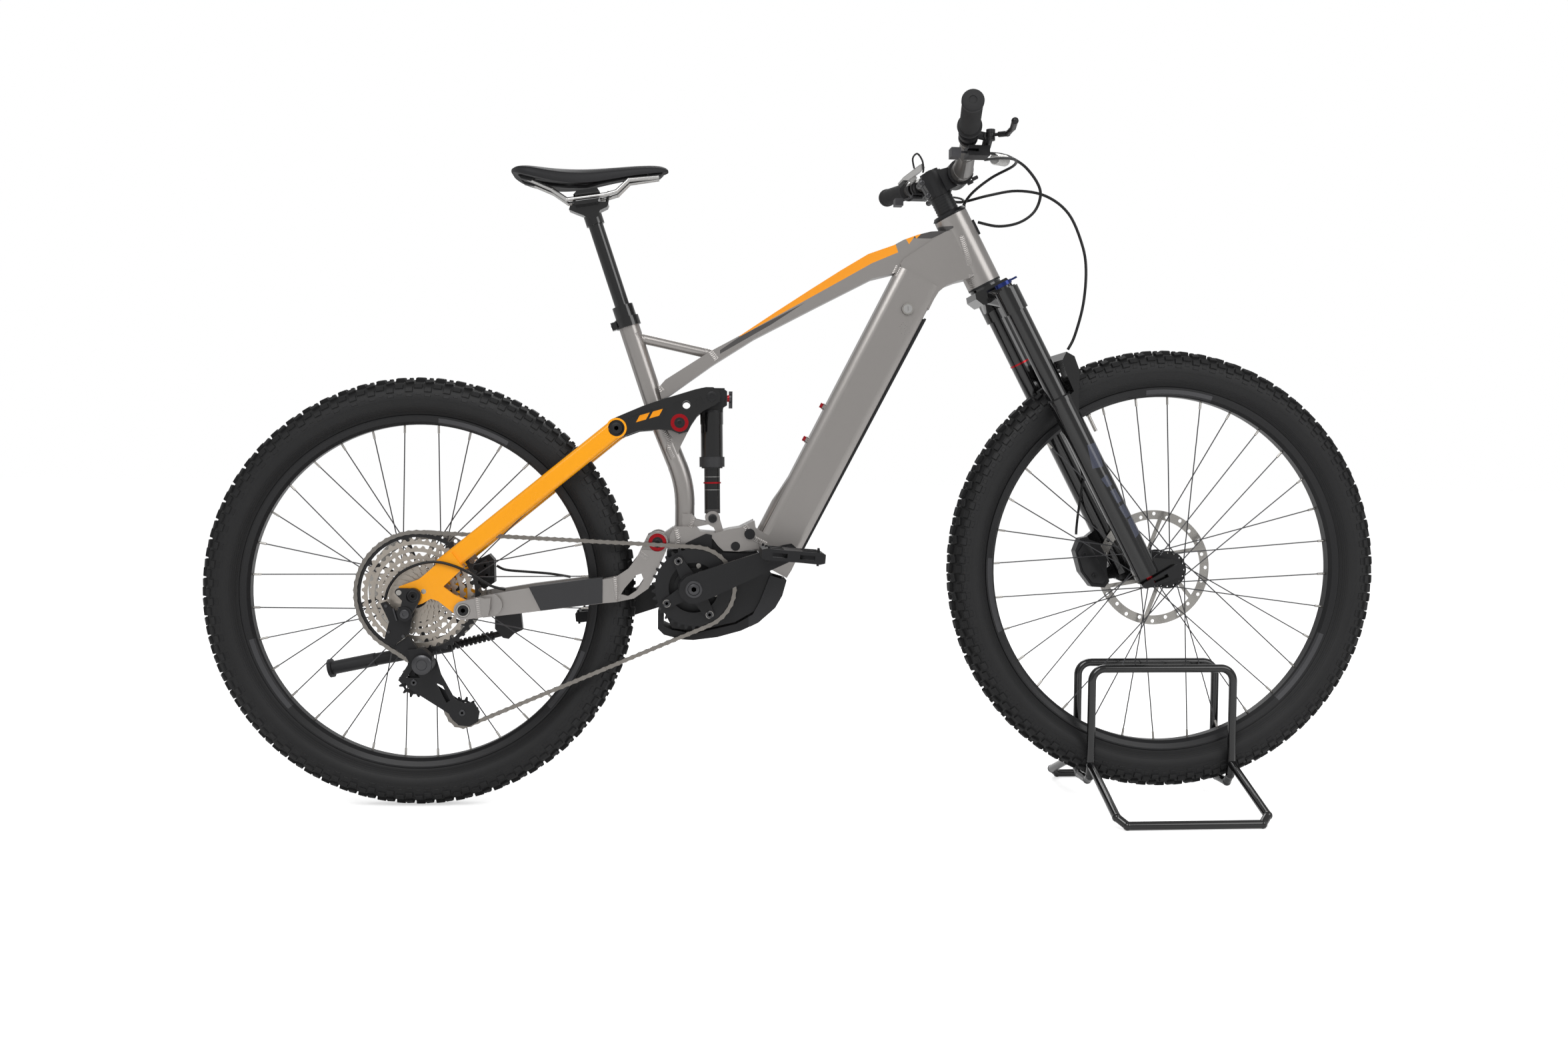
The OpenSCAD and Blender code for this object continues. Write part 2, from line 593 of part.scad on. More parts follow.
// Drive train.
function crank_pt(l, y) = [bb[0] + l * cos(crank_deg), y, bb[1] + l * sin(crank_deg)];
module crank_at() { translate([bb[0], 0, bb[1]]) rotate([0, -crank_deg, 0]) children(); }
arm_line = [[-25, -5], [-16, -19], [-4, -24], [14, -24], [crank_len - 5, -15], [crank_len + 9, -12],
  [crank_len + 15, 0], [crank_len + 9, 12], [crank_len - 5, 15], [14, 24], [-4, 24], [-16, 19], [-25, 5]];
module crank_arms() {
  color("#2b2b2d") {
    difference() {
      union() {
        pin(bb, 30, -80, 80);
        crank_at() side(-90, -76) polygon(arm_line);
        crank_at() rotate([0, 180, 0]) mirror([0, 1, 0]) side(-90, -76) polygon(arm_line);
        pin(bb, 52, -77, -57.4);
        pin(bb, 40, 60, 77);
        for (a = [30, 120, 210, 301]) side(-63.7, -57.8) translate(bb) rotate(a) {
          polygon([[8, -14], [8, 14], [52, 8.2], [52, -8.2]]);
          translate([52, 0]) circle(d = 17, $fn = 48);
        }
      }
      pin(bb, 20, -92, 92);
      crank_at() pin([crank_len, 0], 10.4, -92, -60);
      crank_at() pin([-crank_len, 0], 10.4, 60, 92);
      for (a = [30, 120, 210, 301]) pin(bb + 52 * [cos(a), sin(a)], 8.6, -70, -50);
    }
  }
}
// Toothed disc outline about the origin: z teeth, pitch radius r.
module teeth2d(z, r) {
  polygon([for (i = [0:z - 1], k = [[0, -3.6], [0.22, -3.6], [0.4, 2.2], [0.6, 2.2], [0.78, -3.6]])
    let (a = 360 * (i + k[0]) / z) (r + k[1]) * [cos(a), sin(a)]]);
}
module chainring() {
  color("#1a1a1a") difference() {
    union() {
      side(-ring_y - 0.85, -ring_y + 0.85) translate(bb) teeth2d(34, ring_pitch_d / 2);
      ring(bb, ring_pitch_d - 9, 84, -ring_y - 1.9, -ring_y + 1.9);
    }
    pin(bb, 84, -60, -50);
  }
  color("#3a3a3a") for (a = [30, 120, 210, 301]) {
    difference() {
      side(-57.1, -ring_y + 1.5) link2d(bb + 40 * [cos(a), sin(a)], bb + 53 * [cos(a), sin(a)], 15, 18);
      pin(bb + 52 * [cos(a), sin(a)], 8.4, -70, -50);
      pin(bb, 64, -60, -50);
      ring(bb, 200, 83.9, -60, -50);
    }
    pin(bb + 52 * [cos(a), sin(a)], 8, -66, -51);
    pin(bb + 52 * [cos(a), sin(a)], 13, -66, -64.1);
  }
}
module pedal(s) {
  p = crank_pt(s * crank_len, 0);
  c = [p[0], p[2]];
  tilt = s > 0 ? 4.5 : -6;
  mirror([0, s > 0 ? 0 : 1, 0]) {
    color("silver") difference() {
      union() {
        pin(c, 10, -98, -77);
        pin(c, 16, -98, -90.4);
        pin(c, 8.6, -198, -98);
      }
    }
    color("#262628") translate([c[0], 0, c[1]]) rotate([0, tilt, 0]) {
      difference() {
        side(-103.5 - pedal_w, -103.5) polygon([[-pedal_len / 2, -7], [-pedal_len / 2 + 8, -9.5], [-14, -9], [14, -9],
          [pedal_len / 2 - 8, -9.5], [pedal_len / 2, -7], [pedal_len / 2, 7], [pedal_len / 2 - 8, 9.5], [14, 9],
          [-14, 9], [-pedal_len / 2 + 8, 9.5], [-pedal_len / 2, 7]]);
        pin([0, 0], 9.2, -103.5 - pedal_w + 3, -90);
        for (i = [-1, 1], j = [0, 1]) translate([i * 28 - 13, -103.5 - pedal_w + 10 + j * (pedal_w / 2 - 4), -20])
          cube([26, pedal_w / 2 - 16, 40]);
        for (i = [-1, 1]) translate([i * 22 - 12, -103.5 - pedal_w - 1, -3.5]) cube([24, 12, 7]);
      }
      difference() {
        pin([0, 0], 22, -103.6, -98.4);
        pin([0, 0], 9.2, -110, -90);
      }
      for (i = [-1, 1], j = [0:2], k = [-1, 1])
        translate([i * (pedal_len / 2 - 5 - j * 3), -103.5 - 9 - j * (pedal_w / 2 - 9), k * 10.2]) cylinder(d = 4, h = 4.4,
          center = true, $fn = 24);
    }
  }
}
module pedal_right() { pedal(1); }
module pedal_left() { pedal(-1); }

// Chain run: circles taken in turn, positive where the chain turns to the left.
pulley_r = 24.5;
wraps = [[bb[0], bb[1], ring_pitch_d / 2, -ring_y], [rear_axle[0], rear_axle[1], big_cog_r, -38],
  [guide_pt[0], guide_pt[1], -pulley_r, -38], [tension_pt[0], tension_pt[1], pulley_r, -39]];
function line_deg(a, b) = let (d = [b[0] - a[0], b[1] - a[1]])
  atan2(d[1], d[0]) + asin((a[2] - b[2]) / norm(d));
function out_deg(i) = line_deg(wraps[i], wraps[(i + 1) % 4]);
function in_deg(i) = line_deg(wraps[(i + 3) % 4], wraps[i]);
function turn(i) = let (t = out_deg(i) - in_deg(i)) wraps[i][2] > 0 ? t - 360 * floor(t / 360) :
  t - 360 * ceil(t / 360);
steps = [14, 18, 6, 9];
chain_pts = [for (i = [0:3], k = [0:steps[i]]) let (w = wraps[i], a = in_deg(i) + turn(i) * k / steps[i])
  [w[0] + w[2] * sin(a), w[3], w[1] - w[2] * cos(a)]];
chain_dir = [for (i = [0:3], k = [0:steps[i]]) let (a = in_deg(i) + turn(i) * k / steps[i]) [cos(a), 0, sin(a)]];
module ribbon(y0, y1, h) {
  n = len(chain_pts);
  sec = [[-h, y0], [h, y0], [h, y1], [-h, y1]];
  polyhedron([for (i = [0:n - 1]) let (t = chain_dir[i]) for (q = sec)
    chain_pts[i] + q[0] * [-t[2], 0, t[0]] + [0, q[1], 0]],
    [for (i = [0:n - 1], j = [0:3]) [i * 4 + j, i * 4 + (j + 1) % 4, ((i + 1) % n) * 4 + (j + 1) % 4,
      ((i + 1) % n) * 4 + j]]);
}
module chain() {
  color("silver") {
    ribbon(2.2, 3.4, 4);
    ribbon(-3.4, -2.2, 4);
  }
}
cogs = [51, 45, 39, 33, 28, 24, 21, 18, 16, 14, 12, 10];
module cassette() {
  color("#b9b4b0") difference() {
    union() {
      for (i = [0:11]) let (r = 12.7 / 2 / sin(180 / cogs[i]), y = -38 - 2.75 * i)
        difference() {
          pin(rear_axle, 2 * r + (i == 0 ? 4 : 3), y - 0.9, y + 0.9);
          if (i < 8) pin(rear_axle, 2 * r - 24, y - 2, y + 2);
        }
      for (i = [0:7]) let (r = 12.7 / 2 / sin(180 / cogs[i]), y = -38 - 2.75 * i)
        for (k = [0:5]) side(y - 0.9, y + 0.9) translate(rear_axle) rotate(60 * k + 9 * i)
          translate([16, -4]) square([r - 20, 8]);
      pin(rear_axle, 42, -69.2, -36.6);
    }
    pin(rear_axle, 34, -75, -30);
  }
}
module derailleur_body() {
  color("#2a2a2c") {
    difference() {
      union() {
        pin([-472, 334], 8, -98, -71);
        pin([-472, 334], 24, -98.5, -95.2);
        pin([-472, 334], 25, -82, -71);
        side(-82, -71) polygon([[-484, 338], [-462, 330], [-468, 300], [-492, 280], [-508, 290], [-500, 320],
          [-514, 350], [-506, 353], [-492, 338]]);
        side(-78, -66) polygon([[-508, 290], [-492, 280], [-470, 296], [-446, 262], [-440, 246], [-462, 240],
          [-474, 262]]);
        pin([-445.6, 249.5], 34, -90, -56);
        side(-84, -60) polygon([[-470, 274], [-446, 276], [-430, 262], [-430, 246], [-462, 246]]);
      }
      pin([-445.6, 249.5], 10 + 2 * gap, -62, -50);
    }
  }
}
cage_line = [[-492, 218], [-470, 254], [-462, 258], [-440, 262], [-428, 252], [-421, 228], [-398, 186], [-384, 180],
  [-366, 180], [-357, 165], [-360, 148], [-374, 140], [-392, 142], [-404, 154], [-424, 190], [-444, 208],
  [-470, 214], [-486, 212]];
module derailleur_cage() {
  color("#3a3a3d") {
    difference() {
      union() {
        side(-47, -44.4) polygon(cage_line);
        side(-33.6, -31) link2d(guide_pt, tension_pt, 30, 26);
        side(-47, -44.4) link2d(guide_pt, tension_pt, 26, 26);
        pin([-445.6, 249.5], 10, -61, -46);
        pin([-445.6, 249.5], 26, -55.6, -46);
      }
      side(-50, -40) polygon([[-478, 222], [-466, 240], [-456, 222]]);
      side(-50, -40) polygon([[-430, 214], [-418, 208], [-406, 184], [-412, 180]]);
    }
    pin(guide_pt, 5, -48, -30.5);
    pin(tension_pt, 5, -48, -30.5);
  }
}
module pulley(p, y) {
  color("#333335") difference() {
    union() {
      side(y - 1, y + 1) translate(p) teeth2d(12, pulley_r);
      pin(p, 16, y - 4, y + 4);
    }
    pin(p, 5 + 2 * gap, y - 10, y + 10);
    for (k = [0:4]) pin(p + 14 * [cos(72 * k), sin(72 * k)], 7, y - 5, y + 5);
  }
}
module guide_pulley() { pulley(guide_pt, -38); }
module tension_pulley() { pulley(tension_pt, -39); }

// Wheels: sections are drawn as radius and distance from the middle.
module spin(c, y = 0) { translate([c[0], y, c[1]]) rotate([-90, 0, 0]) rotate_extrude($fn = 180) children(); }
function mir(p) = concat(p, [for (i = [len(p) - 1:-1:0]) [p[i][0], -p[i][1]]]);
module tyre_sec(r, w, b) {
  h = w / 2;
  polygon(concat(
    [[b + 0.6, -13.5], [b + 5.5, -17.2], [b + 7.5, -18.6], [b + 14, -h * 0.8], [b + 26, -h * 0.985], [b + 33, -h],
      [r - 24, -h * 0.985], [r - 16, -h * 0.93], [r - 8, -h * 0.86], [r - 2.5, -h * 0.62], [r, -h * 0.3],
      [r, h * 0.3], [r - 2.5, h * 0.62], [r - 8, h * 0.86], [r - 16, h * 0.93], [r - 24, h * 0.985], [b + 33, h],
      [b + 26, h * 0.985], [b + 14, h * 0.8], [b + 7.5, 18.6], [b + 5.5, 17.2], [b + 0.6, 13.5]],
    [[b + 1.6, 12], [b + 8, 14.5], [b + 15, h * 0.72], [b + 27, h - 4], [r - 26, h - 4], [r - 17, h * 0.7],
      [r - 10, h * 0.34], [r - 9, 0], [r - 10, -h * 0.34], [r - 17, -h * 0.7], [r - 26, -h + 4], [b + 27, -h + 4],
      [b + 15, -h * 0.72], [b + 8, -14.5], [b + 1.6, -12]]));
}
module rim_sec(b) {
  difference() {
    polygon(mir([[b - 11, -9], [b - 6, -15], [b + 2, -18.3], [b + 4.6, -18.3], [b + 4.6, -17.4], [b, -16.9],
      [b, -9], [b - 3.5, -7]]));
    polygon(mir([[b - 9.4, -8], [b - 5, -13.8], [b - 1.6, -15.6], [b - 1.6, -9.6], [b - 5.2, -7.4]]));
  }
}
module valve(c, b, deg) {
  translate([c[0], 0, c[1]]) rotate([0, -deg, 0]) translate([b - 3.7, 0, 0]) rotate([0, -90, 0]) {
    cylinder(d = 6, h = 40, $fn = 24);
    translate([0, 0, 7.6]) cylinder(d = 9, h = 2.6, $fn = 24);
  }
}
module rim(c, b, deg) {
  difference() {
    spin(c) rim_sec(b);
    translate([c[0], 0, c[1]]) rotate([0, -deg, 0]) translate([b - 20, 0, 0]) rotate([0, 90, 0])
      cylinder(d = 6.6, h = 40, $fn = 24);
  }
  valve(c, b, deg);
}
// 32 spokes laced three-cross between flanges at fy (right, left) of hole radius fr.
module spokes(c, b, fy, fr, ph) {
  for (sd = [0, 1], k = [0:15]) let (o = k % 2 == 0 ? 1 : -1, dir = sd == 0 ? -1 : 1,
    ha = 22.5 * k + ph + sd * 11.25, ra = ha + o * 67.5,
    a = [fr * cos(ha), fy[sd] + o * (o * dir > 0 ? 4.5 : 2.9), fr * sin(ha)],
    e = [(b - 11.3) * cos(ra), dir * 3, (b - 11.3) * sin(ra)],
    t = unit(e - a), c3 = [c[0], 0, c[1]]) {
    bar(c3 + a, c3 + e, spoke_d);
    bar(c3 + e - 13 * t, c3 + e, spoke_d + 1.8);
  }
}
module hub(c, half, fy, fr, cap) {
  difference() {
    union() {
      pin(c, cap, -half, half);
      pin(c, 34, fy[0], fy[1]);
      for (y = fy) pin(c, 2 * fr + 7, y - 1.6, y + 1.6);
    }
    pin(c, (half > 60 ? 12 : 15) + 2 * gap, -half - 1, half + 1);
    for (sd = [0, 1], k = [0:15]) let (ha = 22.5 * k + sd * 11.25) 
      pin(c + fr * [cos(ha), sin(ha)], 2.8, fy[sd] - 4, fy[sd] + 4);
  }
}
rear_fy = [-24, 34];
front_fy = [-34, 26];
rear_fr = 28;
front_fr = 29;
module rear_tyre() { color("#222224") spin(rear_axle) tyre_sec(rear_r, rear_tyre_w, rear_bead_r); }
module rear_rim() { color("#2c2c30") rim(rear_axle, rear_bead_r, 0); }
module rear_spokes() { color("#3c3c40") spokes(rear_axle, rear_bead_r, rear_fy, rear_fr, 5.625); }
module rear_hub() {
  color("#1c1c1e") difference() {
    union() {
      hub(rear_axle, hub_rear, rear_fy, rear_fr, 19);
      difference() {
        pin(rear_axle, 33.4, -70, -26);
        pin(rear_axle, 18, -80, -20);
      }
      pin(rear_axle, 52, rear_rotor_y - rotor_t / 2 - 5, rear_rotor_y - rotor_t / 2);
      pin(rear_axle, 34, 34, rear_rotor_y - rotor_t / 2 - 4);
    }
    pin(rear_axle, 12 + 2 * gap, -80, 80);
  }
}
module rotor(c, d, y, flip) {
  difference() {
    union() {
      ring(c, d, d - 32, y - rotor_t / 2, y + rotor_t / 2);
      ring(c, 56, 36, y - rotor_t / 2, y + rotor_t / 2);
      for (k = [0:5]) side(y - rotor_t / 2, y + rotor_t / 2) intersection() {
        strip2d(c + 25 * [cos(60 * k), sin(60 * k)], c + (d / 2 - 12) * [cos(60 * k + flip * 38), sin(60 * k + flip * 38)], 7);
        translate(c) circle(d = d - 1, $fn = 96);
      }
    }
    for (k = [0:23]) pin(c + (d / 2 - (k % 2 == 0 ? 6 : 10)) * [cos(15 * k), sin(15 * k)], 6.5, y - 3, y + 3);
    pin(c, 36, y - 3, y + 3);
  }
  for (k = [0:5]) pin(c + 22 * [cos(60 * k + 30), sin(60 * k + 30)], 7, y + rotor_t / 2, y + rotor_t / 2 + 2);
}
module rear_rotor() { color("silver") rotor(rear_axle, rear_rotor_d, rear_rotor_y, -1); }
module front_tyre() { color("#222224") steered() spin(axle_front) tyre_sec(front_r, front_tyre_w, front_bead_r); }
module front_rim() { color("#2c2c30") steered() rim(axle_front, front_bead_r, 116.6); }
module front_spokes() { color("#3c3c40") steered() spokes(axle_front, front_bead_r, front_fy, front_fr, 9.725); }
module front_hub() {
  color("#1c1c1e") steered() {
    hub(axle_front, hub_front, front_fy, front_fr, 24);
    difference() {
      pin(axle_front, 52, front_rotor_y - rotor_t / 2 - 5, front_rotor_y - rotor_t / 2);
      pin(axle_front, 23.9, 0, 50);
    }
  }
}
module front_rotor() { color("silver") steered() rotor(axle_front, front_rotor_d, front_rotor_y, -1); }

// Fork, drawn with x ahead of the head axis and z up along it from the head centre.
leg_n = 12;
travel = 160;
bar_d0 = bar_clamp_d;
module fork_at() { translate([head_c[0], 0, head_c[1]]) rotate([0, head_deg - 90, 0]) children(); }
module up(n, y, s0, s1, d, d2 = 0) {
  translate([n, y, -s1]) cylinder(d1 = d2 == 0 ? d : d2, d2 = d, h = s1 - s0, $fn = 48);
}
module legs(s0, s1, d) { for (m = [-1, 1]) up(leg_n, m * leg_y, s0, s1, d); }
module fork_uppers() {
  color("#161617") steered() fork_at() {
    difference() {
      union() {
        up(0, 0, -147, 72, steerer_d);
        up(0, 0, 50, 72, 39.6);
        up(0, 0, 66, 72, 56);
        side(-36, 36) polygon([[-30, -70], [30, -70], [34, -80], [34, -95], [0, -98], [-26, -94], [-33, -80]]);
        for (m = [-1, 1]) box_bar([0, m * 6, -82], [leg_n, m * leg_y, -104], 38, 26, 8);
        legs(88, 129, stanchion_d + 7);
        legs(86, 460, stanchion_d);
      }
      up(0, 0, -150, 80, steerer_d - 5);
      legs(100, 461, stanchion_d - 5);
    }
    difference() {
      up(leg_n, leg_y, 82, 86.1, 30);
      up(leg_n, leg_y, 80, 83, 12);
    }
    up(leg_n, -leg_y, 82, 86.1, 20);
    difference() {
      up(leg_n, leg_y, 214, 216.4, stanchion_d + 1.8);
      up(leg_n, leg_y, 210, 220, stanchion_d + 2 * gap);
    }
  }
}
module compression_knob() {
  color("#2f4fa8") steered() fork_at() {
    difference() {
      up(leg_n, -leg_y, 75, 81.6, 30);
      up(leg_n, -leg_y, 74, 77, 14);
    }
    translate([leg_n + 4, -leg_y - 3, -79]) cube([22, 6, 3.4]);
  }
}
module fork_lowers() {
  color("#171718") steered() fork_at() {
    difference() {
      union() {
        legs(292, 630, stanchion_d + 6.5);
        legs(292, 300, stanchion_d + 9);
        both(46, 80) polygon([[22, -296], [22, -338], [40, -302], [60, -266], [63, -240], [54, -227], [42, -236],
          [37, -262], [35.5, -292]]);
        side(-50, 50) polygon([[42, -236], [54, -227], [63, -240], [60, -257], [46, -258], [41, -250]]);
        both(55.2, 72) polygon([[-8, -600], [-8, -636], [4, -650], [57, -658], [70, -652], [71, -638], [60, -624],
          [34, -608], [20, -590]]);
        side(48, 66) polygon([[-4, -538], [-26, -542], [-26, -556], [-4, -566]]);
        side(48, 66) polygon([[-4, -606], [-26, -610], [-26, -626], [-4, -634]]);
      }
      for (m = [-1, 1]) up(leg_n, m * leg_y, 280, 622, stanchion_d + 2 * gap);
      up(leg_n, leg_y, 280, 378, stanchion_d + 2.4);
      up(leg_n, -leg_y, 630.2, 670, 18);
      pin([57, -644.9], 15 + 2 * gap, -90, 90);
      up(leg_n, -leg_y, 600, 660, 8.6);
    }
  }
}
module front_caliper() {
  color("#1d1d1f") steered() fork_at() difference() {
    union() {
      side(30, 56) polygon([[-26.4, -540], [-40, -536], [-58, -552], [-66, -590], [-60, -622], [-40, -634],
        [-26.4, -628]]);
      side(34, 46) polygon([[-27, -545], [-12, -560], [-12, -612], [-27, -626]]);
    }
    side(front_rotor_y - 2.2, front_rotor_y + 2.2) translate([57, -644.9]) circle(r = front_rotor_d / 2 + 3, $fn = 120);
    translate([57, 0, -644.9]) rotate([-90, 0, 0]) cylinder(r = 86, h = 80, $fn = 120);
  }
}
module rebound_knob() {
  color("firebrick") steered() fork_at() {
    up(leg_n, -leg_y, 630.6, 648, 17);
    up(leg_n, -leg_y, 624, 631, 8);
  }
}
module front_axle() {
  color("#1a1a1c") steered() {
    fork_at() {
      difference() {
        pin([57, -644.9], 15, -78, 72);
        pin([57, -644.9], 9, -60, 80);
      }
      difference() {
        pin([57, -644.9], 21, -82, -72.4);
        pin([57, -644.9], 8, -84, -80);
      }
    }
    side(-83, -76) difference() {
      link2d(axle_front, [762, 384], 22, 11);
      strip2d([800, 401.5], [776, 390.4], 6);
    }
  }
}
bar_c = [stem_clamp[0], stem_clamp[2]];
module stem() {
  color("#18181a") steered() {
    fork_at() {
      difference() {
        union() {
          up(0, 0, -105, -75, 37);
          for (k = [0:5]) up(0, 0, -104.6 + 5 * k, -101.4 + 5 * k, 38.4);
        }
        up(0, 0, -110, -70, steerer_d + 2 * gap);
      }
      difference() {
        union() {
          up(0, 0, -147, -105.2, 40);
          side(-17, 17) polygon([[-21, 143], [-18, 147], [10, 146], [30, 142], [52, 140], [52, 108], [30, 107], [-18, 107]]);
          side(-26, 26) translate([43.8, 124.8]) circle(d = bar_d0 + 9, $fn = 64);
          for (z = [114, 138]) {
            pin([-22, z], 9, -17, 17);
          }
        }
        up(0, 0, -160, -90, steerer_d + 2 * gap);
        pin([43.8, 124.8], bar_d0 + 2 * gap, -40, 40);
        translate([-30, -1, 100]) cube([18, 2, 60]);
        for (m = [-1, 1]) translate([0, m * 26, 0]) side(-8, 8) polygon([[62, 150], [70, 150], [70, 100], [62, 100]]);
      }
      difference() {
        up(0, 0, -151, -147.2, 33);
        up(0, 0, -155, -149, 8);
      }
      for (m = [-1, 1], z = [-1, 1]) translate([58, m * 19, 124.8 + z * 20]) rotate([0, 90, 0]) cylinder(d = 6.5, h = 9, $fn = 24);
    }
  }
}
// Handlebar points on the left side; the right side mirrors them.
bar_p = [[447, 0, 1084], [447, 46, 1084], [438, 112, 1095], [426, 176, 1099], [410, 262, 1105]];
bar_dir = unit([387 - 410, 128, 9]);
function bar_at(y) = bar_p[4] + bar_dir * (y - 262) / bar_dir[1];
bar_e = bar_at(bar_half_w);
module bar_ext(a, b, d, d2 = 0, e = 3) { bar(a - e * unit(b - a), b + e * unit(b - a), d, d2); }
module handlebar() {
  color("silver") steered() difference() {
    union() {
      bar([bar_p[1][0], -48, bar_p[1][2]], [bar_p[1][0], 48, bar_p[1][2]], bar_d0);
      for (m = [-1, 1]) {
        bar_ext(my(bar_p[1], m), my(bar_p[2], m), bar_d0 - 1.5, 29, 2);
        bar_ext(my(bar_p[2], m), my(bar_p[3], m), 27.4, bar_end_d + 2.4, 0.5);
        bar(my(bar_at(172), m), my(bar_e, m), bar_end_d);
      }
    }
    for (m = [-1, 1]) bar(my(bar_at(270), m), my(bar_at(bar_half_w + 5), m), bar_end_d - 4.4);
  }
}
function my(p, m) = [p[0], m * p[1], p[2]];
module grips() {
  color("#3a3a3c") steered() for (m = [0, 1]) mirror([0, m, 0]) difference() {
    union() {
      bar(bar_at(262), bar_at(bar_half_w - 2), grip_d);
      bar(bar_at(262), bar_at(267), grip_d + 7);
      bar(bar_at(bar_half_w - 7), bar_at(bar_half_w + 2.4), grip_d + 2);
    }
    bar(bar_at(250), bar_at(bar_half_w + 0.3), bar_end_d + 2 * gap);
  }
}
function bar_seg(y) = bar_at(y);
module clamp_ring(y, w, d) {
  difference() {
    bar(bar_seg(y - w / 2), bar_seg(y + w / 2), d);
    bar(bar_seg(y - w), bar_seg(y + w), bar_end_d + 2 * gap);
  }
}
module brake_master() {
  clamp_ring(232, 12, 32);
  difference() {
    union() {
      bar([428, 232, 1100], [446, 226, 1098], 13);
      bar([446, 238, 1097], [456, 176, 1094], 15);
      translate([449, 237, 1090]) cylinder(d = 14, h = 17, $fn = 32);
    }
    translate([449, 237, 1095]) cylinder(d = 14.6, h = 6, $fn = 32);
    translate([449, 229, 1095]) cube([18, 30, 6]);
  }
  bar([456, 176, 1094], [458, 160, 1093], 9);
}
module control_bodies() {
  color("#1b1b1d") steered() {
    for (m = [0, 1]) mirror([0, m, 0]) difference() {
      brake_master();
      bar(bar_seg(190), bar_seg(250), bar_end_d + 2 * gap);
    }
    mirror([0, 1, 0]) difference() {
      union() {
        clamp_ring(208, 10, 31);
        translate([418, 186, 1070]) cube([34, 36, 16]);
        bar([424, 208, 1084], [421, 208, 1090], 12);
        bar([446, 186, 1079], [456, 172, 1079], 8);
      }
      bar(bar_seg(190), bar_seg(250), bar_end_d + 2 * gap);
      translate([414, 180, 1076]) cube([20, 50, 4.4]);
    }
    difference() {
      union() {
        clamp_ring(200, 10, 31);
        translate([404, 186, 1076]) cube([24, 26, 10]);
        clamp_ring(213, 8, 31);
      }
      bar(bar_seg(180), bar_seg(250), bar_end_d + 2 * gap);
      translate([400, 180, 1079]) cube([20, 40, 4]);
    }
  }
  color("#8a8a8e") steered() translate([402, 196, 1117]) rotate([0, -38, 0]) {
    translate([-22, -26, -2]) cube([46, 50, 9]);
    translate([-6, -8, -8]) cube([12, 16, 6.2]);
  }
}
module lever_blade() {
  difference() {
    union() {
      translate([449, 237, 1095.3]) cylinder(d = 13, h = 5.4, $fn = 32);
      bar([451, 239, 1098], [462, 250, 1097.8], 5.2);
      bar([460, 248, 1097.6], [470, 262, 1096], 9);
      bar([470, 262, 1096], [469, 300, 1096], 8.6);
      bar([469, 300, 1096], [462, 340, 1097], 9.6);
      translate([470, 262, 1096]) sphere(d = 9.8, $fn = 28);
      translate([469, 300, 1096]) sphere(d = 9.6, $fn = 28);
      translate([462, 340, 1097]) sphere(d = 11, $fn = 28);
    }
    bar([428, 232, 1100], [444, 226.7, 1098], 13.8);
  }
}
module brake_lever_left() { color("#222224") steered() lever_blade(); }
module brake_lever_right() { color("#222224") steered() mirror([0, 1, 0]) lever_blade(); }
module shift_lever() {
  color("#6a6a6e") steered() mirror([0, 1, 0]) {
    translate([418, 196, 1076.4]) cube([14, 14, 3.6]);
    bar([420, 203, 1078.2], [402, 218, 1075], 3.4);
    translate([388, 212, 1064]) cube([15, 22, 15]);
  }
}
module dropper_lever() {
  color("#77777b") steered() {
    translate([402.4, 194, 1079.3]) cube([15, 12, 3.4]);
    bar([404, 200, 1081], [390, 222, 1078], 3.2);
    translate([376, 216, 1069]) cube([15, 24, 13]);
  }
}

// Seat.
module seatpost_inner() {
  color("#141415") {
    difference() {
      bar(sp(-20), sp(176), dropper_d);
      bar(sp(-25), sp(150), dropper_d - 6);
    }
    bar(sp(173), sp(190), 31);
    side(-15, 15) polygon([[-212, 1016], [-214, 1009], [-204, 1005], [-190, 1000], [-180, 994], [-166, 998],
      [-162, 1009], [-150, 1015], [-148, 1020], [-152, 1024], [-168, 1023], [-196, 1018]]);
    side(-30, 30) polygon([[-206, 1018], [-202, 1014.5], [-166, 1020.5], [-162, 1027.4], [-206, 1020.6]]);
    side(-30, 30) polygon([[-206, 1031.4], [-162, 1038], [-166, 1044], [-200, 1038.6]]);
    for (x = [[-209, 1012], [-152, 1021]]) bar([x[0], 0, x[1] - 2], [x[0] + 4, 0, x[1] + 22], 5);
  }
}
rail_p = [[-286, 26, 1059], [-242, 24, 1041], [-217, 22, 1024.4], [-152, 22, 1034.2], [-134, 21, 1040],
  [-114, 19, 1060], [-64, 12, 1067]];
module saddle_rails() {
  color("silver") for (m = [0, 1]) mirror([0, m, 0]) {
    for (i = [0:5]) bar(rail_p[i], rail_p[i + 1], rail_d);
    for (i = [1:5]) translate(rail_p[i]) sphere(d = rail_d + 0.5, $fn = 28);
  }
}
saddle_side = [[-309, 1067], [-304, 1061], [-290, 1057], [-262, 1051], [-235, 1046], [-212, 1044], [-190, 1046],
  [-150, 1056], [-110, 1065.5], [-70, 1070], [-52, 1071], [-47.5, 1076], [-48, 1083], [-54, 1086.5], [-75, 1088],
  [-100, 1087], [-150, 1082], [-200, 1077], [-235, 1075.5], [-262, 1077], [-288, 1080], [-297, 1079], [-305, 1073]];
saddle_top = [[-308, -20], [-300, -saddle_w / 2 + 12], [-285, -saddle_w / 2 + 1], [-270, -saddle_w / 2],
  [-245, -saddle_w / 2 + 9], [-215, -46], [-185, -32], [-150, -24], [-100, -20], [-60, -17.5], [-50, -12], [-47, 0]];
